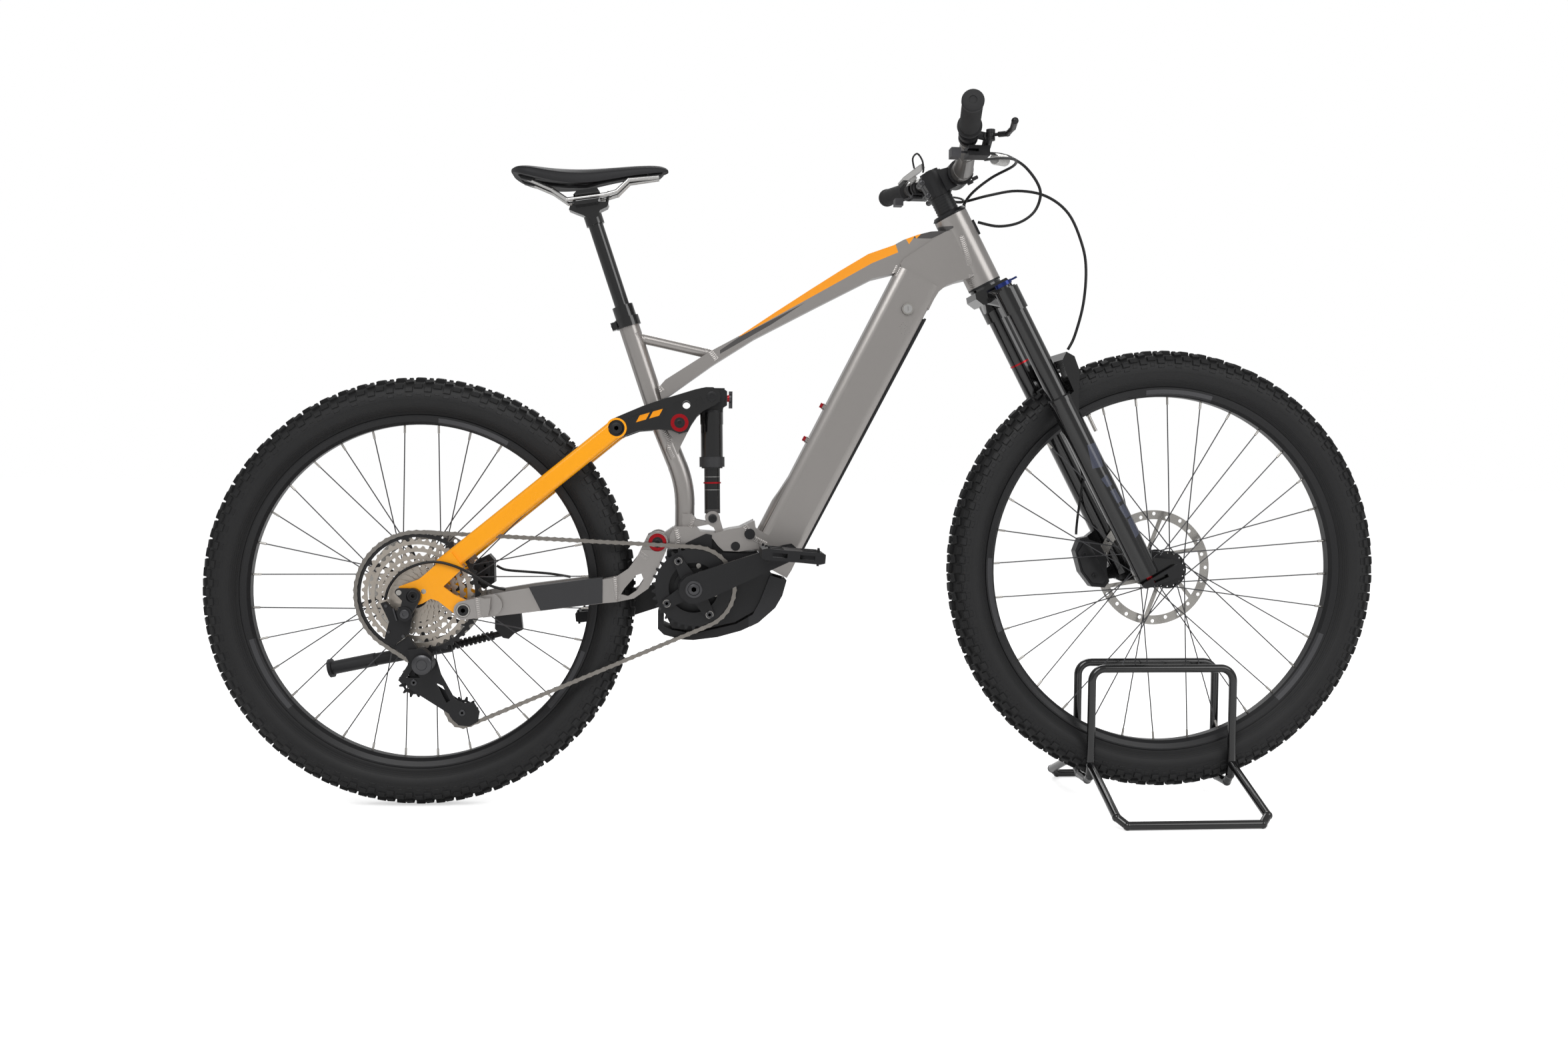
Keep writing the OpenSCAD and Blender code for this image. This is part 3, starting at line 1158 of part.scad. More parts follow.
module saddle() {
  color("#333335") difference() {
    intersection() {
      side(-80, 80) polygon(saddle_side);
      translate([0, 0, 1000]) linear_extrude(120)
        polygon(concat(saddle_top, [for (i = [len(saddle_top) - 2:-1:0]) [saddle_top[i][0], -saddle_top[i][1]]]));
    }
    side(-34, 34) polygon([[-292, 1040], [-292, 1063], [-262, 1060], [-230, 1052], [-190, 1050], [-176, 1040]]);
    side(-24, 24) polygon([[-150, 1040], [-150, 1058], [-118, 1070.6], [-66, 1075], [-62, 1060], [-90, 1055]]);
  }
}

// Wheel stand: bent tube, set square under the turned wheel.
module stand_tube(p) {
  for (i = [0:len(p) - 2]) bar(p[i], p[i + 1], stand_d - 0.3 * (i % 2));
  for (i = [1:len(p) - 2]) translate(p[i]) sphere(d = stand_d + 1.2, $fn = 40);
}
base_w = 127;
module wheel_stand() {
  color("#141416") translate([807, -3.6, 0]) rotate([0, 0, 1.98]) {
    for (m = [-1, 1]) {
      r = 22;
      y = m * 42;
      bar([-hoop_half, y, 74], [-hoop_half, y, hoop_h - r], stand_d);
      bar([hoop_half, y, 74], [hoop_half, y, hoop_h - r], stand_d);
      bar([-hoop_half + r, y, hoop_h], [hoop_half - r, y, hoop_h], stand_d);
      for (n = [0, 1]) mirror([n, 0, 0]) translate([hoop_half - r, y, hoop_h - r]) rotate([90, 0, 0])
        rotate_extrude(angle = 90, $fn = 96) translate([r, 0]) circle(d = stand_d, $fn = 32);
      stand_tube([[-hoop_half, y, 74], [-base_w, m * 196, 18], [-base_w + 14, m * 209, stand_d / 2],
        [base_w - 14, m * 209, stand_d / 2], [base_w, m * 196, 18], [hoop_half, y, 74]]);
      for (n = [-1, 1]) translate([n * hoop_half, y, 74]) sphere(d = stand_d + 2, $fn = 40);
    }
    for (n = [-1, 1]) stand_tube([[n * hoop_half, -42, 74], [n * hoop_half, -38, 52], [n * hoop_half, -24, cradle_z(n)],
      [n * hoop_half, 24, cradle_z(n)], [n * hoop_half, 38, 52], [n * hoop_half, 42, 74]]);
  }
}
// Height of a cradle bar that just meets the tyre.
function cradle_z(n) =
  axle_front[1] - sqrt(pow(front_r + stand_d / 2 + 1, 2) - pow(axle_front[0] - 807 - n * hoop_half, 2));

// Hoses and cables: points set by hand.
hose_d = 5;
module tube(p, d = hose_d, k = 4) { sweep(run(p, k), ring_sec(d), [0.13, 0.31, 0.94]); }
module hoses() {
  color("#1f1f21") {
    // right brake line in a loop ahead of the head tube to the port
    tube([[462, -150, 1092], [500, -100, 1100], [532, -40, 1106], [562, -10, 1097], [585, 0, 1073], [592, 4, 1051],
      [582, 6, 1024], [556, 6, 1005], [520, 6, 998], [484, 4, 1004]], k = 3);
    // gear line round to the left side of the head tube
    tube([[462, -166, 1078], [504, -110, 1092], [536, -50, 1101], [540, -10, 1098], [510, 26, 1084], [478, 40, 1058],
      [462, 40, 1030], [463, 35, 1004]], k = 3);
    // left brake line down to the arch, then behind the left leg to the caliper
    tube([[464, 150, 1092], [450, 110, 1062], [466, 72, 1049], [510, 52, 1058], [560, 45, 1066], [610, 40, 1057],
      [650, 38, 1027], [674, 36, 975], [682, 35, 930], [678, 34, 870], [664, 34, 815], [652, 34, 790]], k = 3);
    tube([[688, 41, 604], [690, 41, 580], [683, 42, 545], [678, 45, 500], [676, 46, 476], [675.4, 45, 465]], 4.4, 3);
    // seatpost line and display line on the left of the bar
    tube([[424, 180, 1078], [452, 120, 1066], [470, 70, 1052], [466, 44, 1024], [470, 36, 992]], 4, 3);
    tube([[396, 168, 1124], [393, 168, 1142], [401, 168, 1151], [410, 168, 1140], [413, 168, 1125], [412, 168, 1117]], 3.4, 3);
    // rear gear housing over the stay to the chainstay
    tube([[-508, -74, 356], [-500, -79, 378], [-482, -82.6, 400], [-452, -85.2, 415], [-422, -85.4, 419], [-392, -86, 412],
      [-364, -82.6, 398], [-338, -71, 380], [-314, -58, 371.6]], 4.6, 3);
    // rear brake line from the chainstay to the caliper
    tube([[-342, 60, 403], [-326, 59, 396], [-290, 57, 393], [-250, 56, 390], [-214, 55, 384.6]], 4.6, 3);
  }
}

place() frame_main();
place() headset_cups();
place() motor_unit();
place() motor_cover();
place() seat_clamp();
place() frame_hardware();
place() seatpost_outer();
place() battery();
place() battery_lock();
place() charge_flap();
place() chainstays();
place() chainstay_fittings();
place() kickstand_leg();
place() seatstays();
place() dropout_hardware();
place() rear_caliper();
place() rocker_link();
place() rocker_bolts();
place() shock_shaft();
place() shock_body();
place() shock_lever();
place() crank_arms();
place() chainring();
place() pedal_right();
place() pedal_left();
place() chain();
place() rear_tyre();
place() rear_rim();
place() rear_hub();
place() rear_spokes();
place() rear_rotor();
place() cassette();
place() derailleur_body();
place() derailleur_cage();
place() guide_pulley();
place() tension_pulley();
place() front_tyre();
place() front_rim();
place() front_hub();
place() front_spokes();
place() front_rotor();
place() fork_uppers();
place() stem();
place() handlebar();
place() grips();
place() control_bodies();
place() compression_knob();
place() brake_lever_right();
place() brake_lever_left();
place() shift_lever();
place() dropper_lever();
place() fork_lowers();
place() front_caliper();
place() rebound_knob();
place() front_axle();
place() seatpost_inner();
place() saddle_rails();
place() saddle();
place() wheel_stand();
place() hoses();
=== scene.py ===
"""Full-suspension electric mountain bicycle standing in a tubular wheel stand."""

import logging
from dataclasses import dataclass
from enum import Enum
from functools import cache, cached_property, partial, partialmethod, reduce
from math import asin, atan2, ceil, cos, degrees, dist, exp, floor, hypot, pi, radians, sin, tan
from operator import mul
from typing import Callable, Iterable, Optional, Sequence

import bmesh
import bpy
from mathutils import Matrix, Vector

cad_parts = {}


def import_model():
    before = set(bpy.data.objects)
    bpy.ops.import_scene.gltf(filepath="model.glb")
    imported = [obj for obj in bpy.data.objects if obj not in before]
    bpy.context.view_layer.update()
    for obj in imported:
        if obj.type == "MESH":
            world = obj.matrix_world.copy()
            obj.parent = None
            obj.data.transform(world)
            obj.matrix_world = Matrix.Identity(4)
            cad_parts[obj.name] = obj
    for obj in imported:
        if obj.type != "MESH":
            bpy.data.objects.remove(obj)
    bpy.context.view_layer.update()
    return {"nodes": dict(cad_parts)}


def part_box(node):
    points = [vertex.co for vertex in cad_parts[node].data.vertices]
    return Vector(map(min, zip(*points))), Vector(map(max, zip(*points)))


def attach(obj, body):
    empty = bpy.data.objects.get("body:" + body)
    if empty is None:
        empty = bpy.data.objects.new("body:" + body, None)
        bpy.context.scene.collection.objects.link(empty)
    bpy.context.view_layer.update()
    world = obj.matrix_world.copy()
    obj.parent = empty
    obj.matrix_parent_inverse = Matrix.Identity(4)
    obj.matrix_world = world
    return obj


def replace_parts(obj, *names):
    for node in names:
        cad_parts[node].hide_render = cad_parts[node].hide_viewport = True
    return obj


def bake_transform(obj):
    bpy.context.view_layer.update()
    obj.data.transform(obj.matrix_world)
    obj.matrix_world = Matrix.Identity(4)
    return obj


LOG = logging.getLogger("bicycle")
Point = tuple[float, float, float]
Spot = tuple[float, float]
Mask = Callable[["Paint"], "Sock"]
Vert, Edge, Face = bmesh.types.BMVert, bmesh.types.BMEdge, bmesh.types.BMFace
Material, Object = bpy.types.Material, bpy.types.Object
SIDES = (-1, 1)

# Key points of the side view in millimetres: x ahead of the bottom bracket, z above the floor.
X_MID = 186.5
BB: Spot = (0.0, 376.0)
REAR_AXLE: Spot = (-460.6, 362.7)
FRONT_AXLE: Spot = (815.8, 408.3)
HEAD: Spot = (466.1, 953.1)
HORST: Spot = (-378.9, 339.3)
MAIN_PIVOT: Spot = (-61.5, 451.4)
ROCKER_PIVOT: Spot = (-25.7, 652.6)
STAY_PIVOT: Spot = (-130.6, 642.4)
SHOCK_TOP: Spot = (28.1, 697.7)
SHOCK_LOW: Spot = (31.3, 491.4)
GUIDE: Spot = (-466.0, 214.0)
TENSION: Spot = (-386.0, 163.0)
HEAD_ANGLE = radians(62.35)
STEER_ANGLE = radians(2.24)
DOWN = Vector((cos(HEAD_ANGLE), 0.0, -sin(HEAD_ANGLE)))
AHEAD = Vector((-DOWN.z, 0.0, DOWN.x))
REAR_BEAD, FRONT_BEAD = 294.0, 311.0
CHAIN_PITCH = 12.7


def mm(x: float, y: float, z: float) -> Vector:
    """Place of a point given in millimetres from the bottom bracket."""
    return Vector(((x - X_MID) / 1000, y / 1000, z / 1000))


def steer_matrix() -> Matrix:
    """Turn of the front end about the head axis, in metres."""
    pivot = mm(HEAD[0], 0, HEAD[1])
    return Matrix.Translation(pivot) @ Matrix.Rotation(STEER_ANGLE, 4, -DOWN) @ Matrix.Translation(-pivot)


def fork(n: float, s: float, y: float = 0.0) -> Point:
    """Point in the steering frame before the turn: n ahead of the head axis, s down along it."""
    return (HEAD[0] + AHEAD.x * n + DOWN.x * s, y, HEAD[1] + AHEAD.z * n + DOWN.z * s)


def add(name: str, data: bpy.types.ID) -> Object:
    """New object of the scene around some data."""
    thing = bpy.data.objects.new(name, data)
    bpy.context.scene.collection.objects.link(thing)
    return thing


def srgb(*channels: int) -> tuple[float, float, float, float]:
    """Linear colour of an 8-bit screen colour."""
    parts = [value / 255 for value in channels]
    return (*(part / 12.92 if part <= 0.04045 else ((part + 0.055) / 1.055) ** 2.4 for part in parts), 1.0)


# --- shader maths
class Sock:
    """Output of a shader node with arithmetic."""

    def __init__(self, paint: "Paint", socket: bpy.types.NodeSocket) -> None:
        """Wraps a socket of the paint's tree."""
        self.paint = paint
        self.socket = socket

    def math(self, operation: str, *others: object) -> "Sock":
        """Result of a Math node on this value and further values or links."""
        return self.paint.node("ShaderNodeMath", {"operation": operation}, dict(enumerate((self, *others))))

    __add__ = __radd__ = partialmethod(math, "ADD")
    __mul__ = __rmul__ = partialmethod(math, "MULTIPLY")
    __sub__ = partialmethod(math, "SUBTRACT")
    __truediv__ = partialmethod(math, "DIVIDE")
    __gt__ = partialmethod(math, "GREATER_THAN")
    __lt__ = partialmethod(math, "LESS_THAN")

    def __rsub__(self, other: object) -> "Sock":
        """Difference from a number."""
        return self.paint.node("ShaderNodeMath", {"operation": "SUBTRACT"}, {0: other, 1: self})

    def clamp(self) -> "Sock":
        """The value kept from 0 to 1."""
        return self.paint.node("ShaderNodeClamp", {}, {0: self, 1: 0.0, 2: 1.0})

    def ramp(self, low: float, high: float) -> "Sock":
        """Smooth rise from 0 at low to 1 at high."""
        return self.paint.node("ShaderNodeMapRange", {"interpolation_type": "SMOOTHSTEP"},
                               {0: self, 1: low, 2: high, 3: 0.0, 4: 1.0})


class Paint:
    """Builder of one material on Object coordinates."""

    def __init__(self, name: str) -> None:
        """Starts an empty material with its shader and output."""
        self.material = bpy.data.materials.new(name)
        self.material.use_nodes = True
        self.tree = self.material.node_tree
        self.tree.nodes.clear()
        self.shader = self.tree.nodes.new("ShaderNodeBsdfPrincipled")
        output = self.tree.nodes.new("ShaderNodeOutputMaterial")
        self.tree.links.new(self.shader.outputs[0], output.inputs[0])

    def node(self, kind: str, settings: dict[str, object], inputs: dict[object, object], out: int = 0) -> Sock:
        """Adds a node.

        Args:
            kind: The node's type.
            settings: Properties set before its inputs.
            inputs: Values or links by socket name or number.
            out: Number of the output that is wanted.

        Returns:
            That output.
        """
        node = self.tree.nodes.new(kind)
        for key, value in settings.items():
            setattr(node, key, value)
        for key, value in inputs.items():
            self.feed(node.inputs[key], value)
        return Sock(self, node.outputs[out])

    def feed(self, socket: bpy.types.NodeSocket, value: object) -> None:
        """Links or sets one input."""
        if isinstance(value, Sock):
            self.tree.links.new(value.socket, socket)
        elif isinstance(value, (int, float)) and hasattr(socket.default_value, "__len__"):
            socket.default_value = [value] * len(socket.default_value)
        else:
            socket.default_value = value

    def dress(self, **inputs: object) -> None:
        """Feeds the shader's own inputs, with _ for each space of their names."""
        for key, value in inputs.items():
            self.feed(self.shader.inputs[key.replace("_", " ")], value)

    @cached_property
    def place(self) -> Sock:
        """Object coordinates in metres."""
        return self.node("ShaderNodeTexCoord", {}, {}, 3)

    @cache
    def axis(self, letter: str) -> Sock:
        """One coordinate in millimetres from the bottom bracket."""
        value = self.node("ShaderNodeSeparateXYZ", {}, {0: self.place}, "xyz".index(letter))
        return value * 1000 + (X_MID if letter == "x" else 0.0)

    @cache
    def noise(self, scale: float, detail: float = 3.0, rough: float = 0.55, stretch: Point = (1, 1, 1)) -> Sock:
        """Noise from 0 to 1.

        Args:
            scale: Cells to a metre.
            detail: Number of octaves.
            rough: Strength of the fine octaves.
            stretch: Scale along each axis.

        Returns:
            The noise value.
        """
        vector = self.node("ShaderNodeMapping", {}, {"Vector": self.place, "Scale": stretch})
        return self.node("ShaderNodeTexNoise", {},
                         {"Vector": vector, "Scale": scale, "Detail": detail, "Roughness": rough})

    def blend(self, amount: object, low: object, high: object) -> Sock:
        """Colour between two colours."""
        return self.node("ShaderNodeMix", {"data_type": "RGBA"}, {0: amount, 6: low, 7: high}, 2)

    @cache
    def distance(self, spot: Spot) -> Sock:
        """Distance from an axis across the bicycle, in millimetres."""
        dx, dz = self.axis("x") - spot[0], self.axis("z") - spot[1]
        return (dx * dx + dz * dz).math("SQRT")

    @cache
    def side(self) -> Sock:
        """Distance from the middle plane in millimetres."""
        return self.axis("y").math("ABSOLUTE")

    @cache
    def along(self, start: Spot, end: Spot) -> tuple[Sock, Sock]:
        """Millimetres along a line of the side view from start through end, and to its left."""
        length = dist(start, end)
        ux, uz = (end[0] - start[0]) / length, (end[1] - start[1]) / length
        dx, dz = self.axis("x") - start[0], self.axis("z") - start[1]
        return dx * ux + dz * uz, dz * ux - dx * uz


# --- finishes
CLOUD_CELLS, FINE_CELLS = 9.0, 420.0
RELIEF_MM = 0.25
SMOOTHEST, COAT_ROUGHNESS = 0.04, 0.08
MILLIMETRE = 0.001


class Texture(Enum):
    """Fine relief of a finish."""

    SMOOTH = 0
    GRAINED = 1
    BRUSHED = 2
    LEATHER = 3


@dataclass(frozen=True)
class Finish:
    """How one kind of surface looks: a linear colour, and a second one, the tone, that mottles it."""

    colour: tuple[float, float, float, float]
    tone: tuple[float, float, float, float]
    roughness: float
    metallic: float = 0.0
    coat: float = 0.0
    texture: Texture = Texture.SMOOTH
    grain: float = 900.0
    relief: float = 0.1
    wear: float = 0.06
    gleam: float = 0.5

    def parts(self, paint: Paint) -> tuple[Sock, Sock]:
        """Mottled colour and uneven roughness of the finish, added to a material."""
        cloud = paint.noise(CLOUD_CELLS, 4.0, 0.6)
        fine = paint.noise(FINE_CELLS, 2.0)
        colour = paint.blend((cloud * 0.7 + fine * 0.3).clamp(), self.colour, self.tone)
        rough = self.roughness + (cloud - 0.5) * (self.wear * 1.6) + (fine - 0.5) * self.wear
        return colour, rough

    def height(self, paint: Paint) -> Sock:
        """Relief of a finish that isn't smooth."""
        if self.texture is Texture.BRUSHED:
            return paint.noise(self.grain, 2.0, 0.6, (1.0, 12.0, 1.0))
        if self.texture is Texture.LEATHER:
            cells = paint.node("ShaderNodeTexVoronoi", {"feature": "DISTANCE_TO_EDGE"},
                               {"Vector": paint.place, "Scale": self.grain})
            return cells.ramp(0.0, 0.25)
        return paint.noise(self.grain, 3.0, 0.65)


@dataclass(frozen=True)
class Mark:
    """Another finish on a part of a surface."""

    where: Mask
    finish: Finish


def finish_of(colour: tuple[int, int, int], tone: tuple[int, int, int], rough: float, **more: object) -> Finish:
    """Finish from two screen colours."""
    return Finish(srgb(*colour), srgb(*tone), rough, **more)


grained = partial(finish_of, texture=Texture.GRAINED)
brushed = partial(finish_of, texture=Texture.BRUSHED)
SILVER_PAINT = grained((166, 162, 159), (156, 152, 149), 0.3, metallic=0.7, coat=0.3, grain=2600.0, relief=0.05)
# Dark grey metal on the shock shaft, also used for shade painted on the sides of the top tube.
DARK_SILVER_AND_SIDE_SHADE = grained((88, 86, 85), (78, 76, 76), 0.34, metallic=0.45, coat=0.3, grain=2600.0, relief=0.04)
ORANGE_PAINT = finish_of((255, 170, 0), (252, 162, 0), 0.26, coat=0.4, gleam=0.3)
ORANGE_MATT = finish_of((250, 158, 6), (242, 150, 2), 0.42, coat=0.1, gleam=0.3)
SATIN_BLACK = grained((25, 25, 27), (18, 18, 20), 0.38, metallic=0.1, gleam=0.45, grain=1500.0, relief=0.05)
GLOSS_BLACK = finish_of((12, 12, 13), (9, 9, 10), 0.16, coat=0.55, wear=0.03)
SHAFT_BLACK = finish_of((30, 30, 31), (24, 24, 25), 0.14, metallic=0.4, coat=0.6, wear=0.02)
PLASTIC = grained((26, 26, 28), (20, 20, 22), 0.5, gleam=0.35, grain=1200.0, relief=0.16)
GREY_PLASTIC = grained((62, 62, 65), (52, 52, 55), 0.5, grain=1200.0, relief=0.14)
DARK_GREY = grained((46, 46, 48), (39, 39, 41), 0.46, grain=1000.0, relief=0.12)
RAW_ALLOY = brushed((205, 204, 202), (185, 184, 182), 0.3, metallic=0.95, grain=500.0, relief=0.06)
BAR_ALLOY = grained((150, 148, 146), (138, 136, 134), 0.34, metallic=0.8, grain=2400.0, relief=0.04)
STEEL = brushed((196, 193, 188), (170, 167, 162), 0.26, metallic=1.0, grain=700.0, relief=0.05)
WARM_STEEL = brushed((196, 188, 178), (168, 160, 150), 0.34, metallic=0.85, grain=700.0, relief=0.08)
CHAIN_STEEL = brushed((158, 153, 147), (128, 124, 119), 0.32, metallic=0.95, grain=700.0, relief=0.05)
DARK_STEEL = brushed((92, 92, 94), (74, 74, 76), 0.34, metallic=0.9, grain=700.0, relief=0.05)
RED_ALLOY = finish_of((190, 20, 34), (158, 12, 24), 0.26, metallic=0.75, coat=0.2)
BLUE_ALLOY = finish_of((34, 52, 120), (26, 40, 98), 0.26, metallic=0.8, coat=0.2)
TYRE = grained((24, 24, 25), (16, 16, 17), 0.62, gleam=0.35, grain=700.0, relief=0.3, wear=0.1)
TYRE_SIDE = grained((31, 31, 32), (24, 24, 25), 0.56, gleam=0.35, grain=1600.0, relief=0.16, wear=0.08)
GRIP = grained((46, 46, 47), (36, 36, 37), 0.7, gleam=0.35, grain=1300.0, relief=0.3)
HOSE = grained((18, 18, 20), (13, 13, 15), 0.36, gleam=0.4, grain=900.0, relief=0.06)
COVER = finish_of((38, 38, 40), (30, 30, 32), 0.56, gleam=0.35, texture=Texture.LEATHER, relief=0.22)
SCREEN = finish_of((18, 19, 22), (14, 15, 17), 0.1, coat=0.5, wear=0.01)
STONE_BLUE = finish_of((62, 66, 82), (54, 58, 74), 0.24, coat=0.4)


def material(name: str, base: Finish, marks: Sequence[Mark] = (), relief: Optional[Mask] = None,
             depth: float = 0.6) -> Material:
    """Makes one material.

    Args:
        name: Its name.
        base: Finish of the whole surface.
        marks: Finishes laid over parts of it, later ones on top.
        relief: Adds moulded relief, 0 to 1.
        depth: Height of that relief in millimetres.

    Returns:
        The material.
    """
    paint = Paint(name)
    colour, rough = base.parts(paint)
    metal, coat = base.metallic, base.coat
    heights = [] if base.texture is Texture.SMOOTH else [base.height(paint) * (base.relief * RELIEF_MM)]
    for mark in marks:
        mask = mark.where(paint)
        tint, uneven = mark.finish.parts(paint)
        colour = paint.blend(mask, colour, tint)
        rough = rough + mask * (uneven - rough)
        metal = mask * (mark.finish.metallic - metal) + metal
        coat = mask * (mark.finish.coat - coat) + coat
    if relief:
        heights.append(relief(paint) * depth)
    paint.dress(Base_Color=colour, Roughness=rough.math("MAXIMUM", SMOOTHEST), Metallic=metal, Coat_Weight=coat,
                Coat_Roughness=COAT_ROUGHNESS, Specular_IOR_Level=base.gleam)
    if heights:
        total = sum(heights[1:], heights[0])
        bump = paint.node("ShaderNodeBump", {}, {"Strength": 1.0, "Distance": MILLIMETRE, "Height": total})
        paint.dress(Normal=bump)
    return paint.material


def both_of(*masks: Mask) -> Mask:
    """Mask where all the masks hold."""
    return lambda paint: reduce(mul, (mask(paint) for mask in masks))


def disc(spot: Spot, outer: float, inner: float = -1.0) -> Mask:
    """Mask of a disc or ring about an axis across the bicycle."""
    return lambda paint: (paint.distance(spot) < outer) * (paint.distance(spot) > inner)


def outside(limit: float) -> Mask:
    """Mask of what lies further from the middle plane than a limit."""
    return lambda paint: paint.side() > limit


def above(letter: str, limit: float) -> Mask:
    """Mask of what lies above a limit on one axis."""
    return lambda paint: paint.axis(letter) > limit


def below(letter: str, limit: float) -> Mask:
    """Mask of what lies below a limit on one axis."""
    return lambda paint: paint.axis(letter) < limit


def region(x0: float, x1: float, z0: float, z1: float) -> Mask:
    """Mask of a box in the side view."""
    return both_of(above("x", x0), below("x", x1), above("z", z0), below("z", z1))


def outline(*corners: Spot) -> Mask:
    """Mask of a convex outline of the side view, its corners counter-clockwise."""
    edges = list(zip(corners, [*corners[1:], corners[0]]))
    return lambda paint: reduce(mul, (paint.along(*edge)[1].ramp(-0.25, 0.25) for edge in edges))


def stretch(start: Spot, end: Spot, low: float, high: float) -> Mask:
    """Mask of a stretch of a line, from low to high along it."""
    return lambda paint: (paint.along(start, end)[0] > low) * (paint.along(start, end)[0] < high)


def weld(paint: Paint, start: Spot, end: Spot) -> Sock:
    """Ripples of a weld bead along a line of the side view."""
    wide, pitch = 4.5, 3.2
    ahead, left = paint.along(start, end)
    offset = left / wide
    crown = (1 - offset * offset).math("MAXIMUM", 0.0)
    scales = ((ahead + left * left * 0.12) * (2 * pi / pitch)).math("SINE") * 0.22 + 0.78
    return crown.math("SQRT") * scales * (ahead > 0) * (ahead < dist(start, end))


def welds(*lines: tuple[Spot, Spot]) -> Mask:
    """Relief of several weld beads."""
    return lambda paint: reduce(lambda a, b: a.math("MAXIMUM", b), (weld(paint, *line) for line in lines))


def sector(hub: Spot, inner: float, outer: float, low: float, high: float) -> Mask:
    """Mask of an arc of a ring, from low to high degrees."""
    middle, half = radians((low + high) / 2), radians((high - low) / 2)

    def mask(paint: Paint) -> Sock:
        """Its value on the surface."""
        reach = paint.distance(hub)
        ahead = (paint.axis("x") - hub[0]) * cos(middle) + (paint.axis("z") - hub[1]) * sin(middle)
        return (ahead > reach * cos(half)) * (reach < outer) * (reach > inner)
    return mask


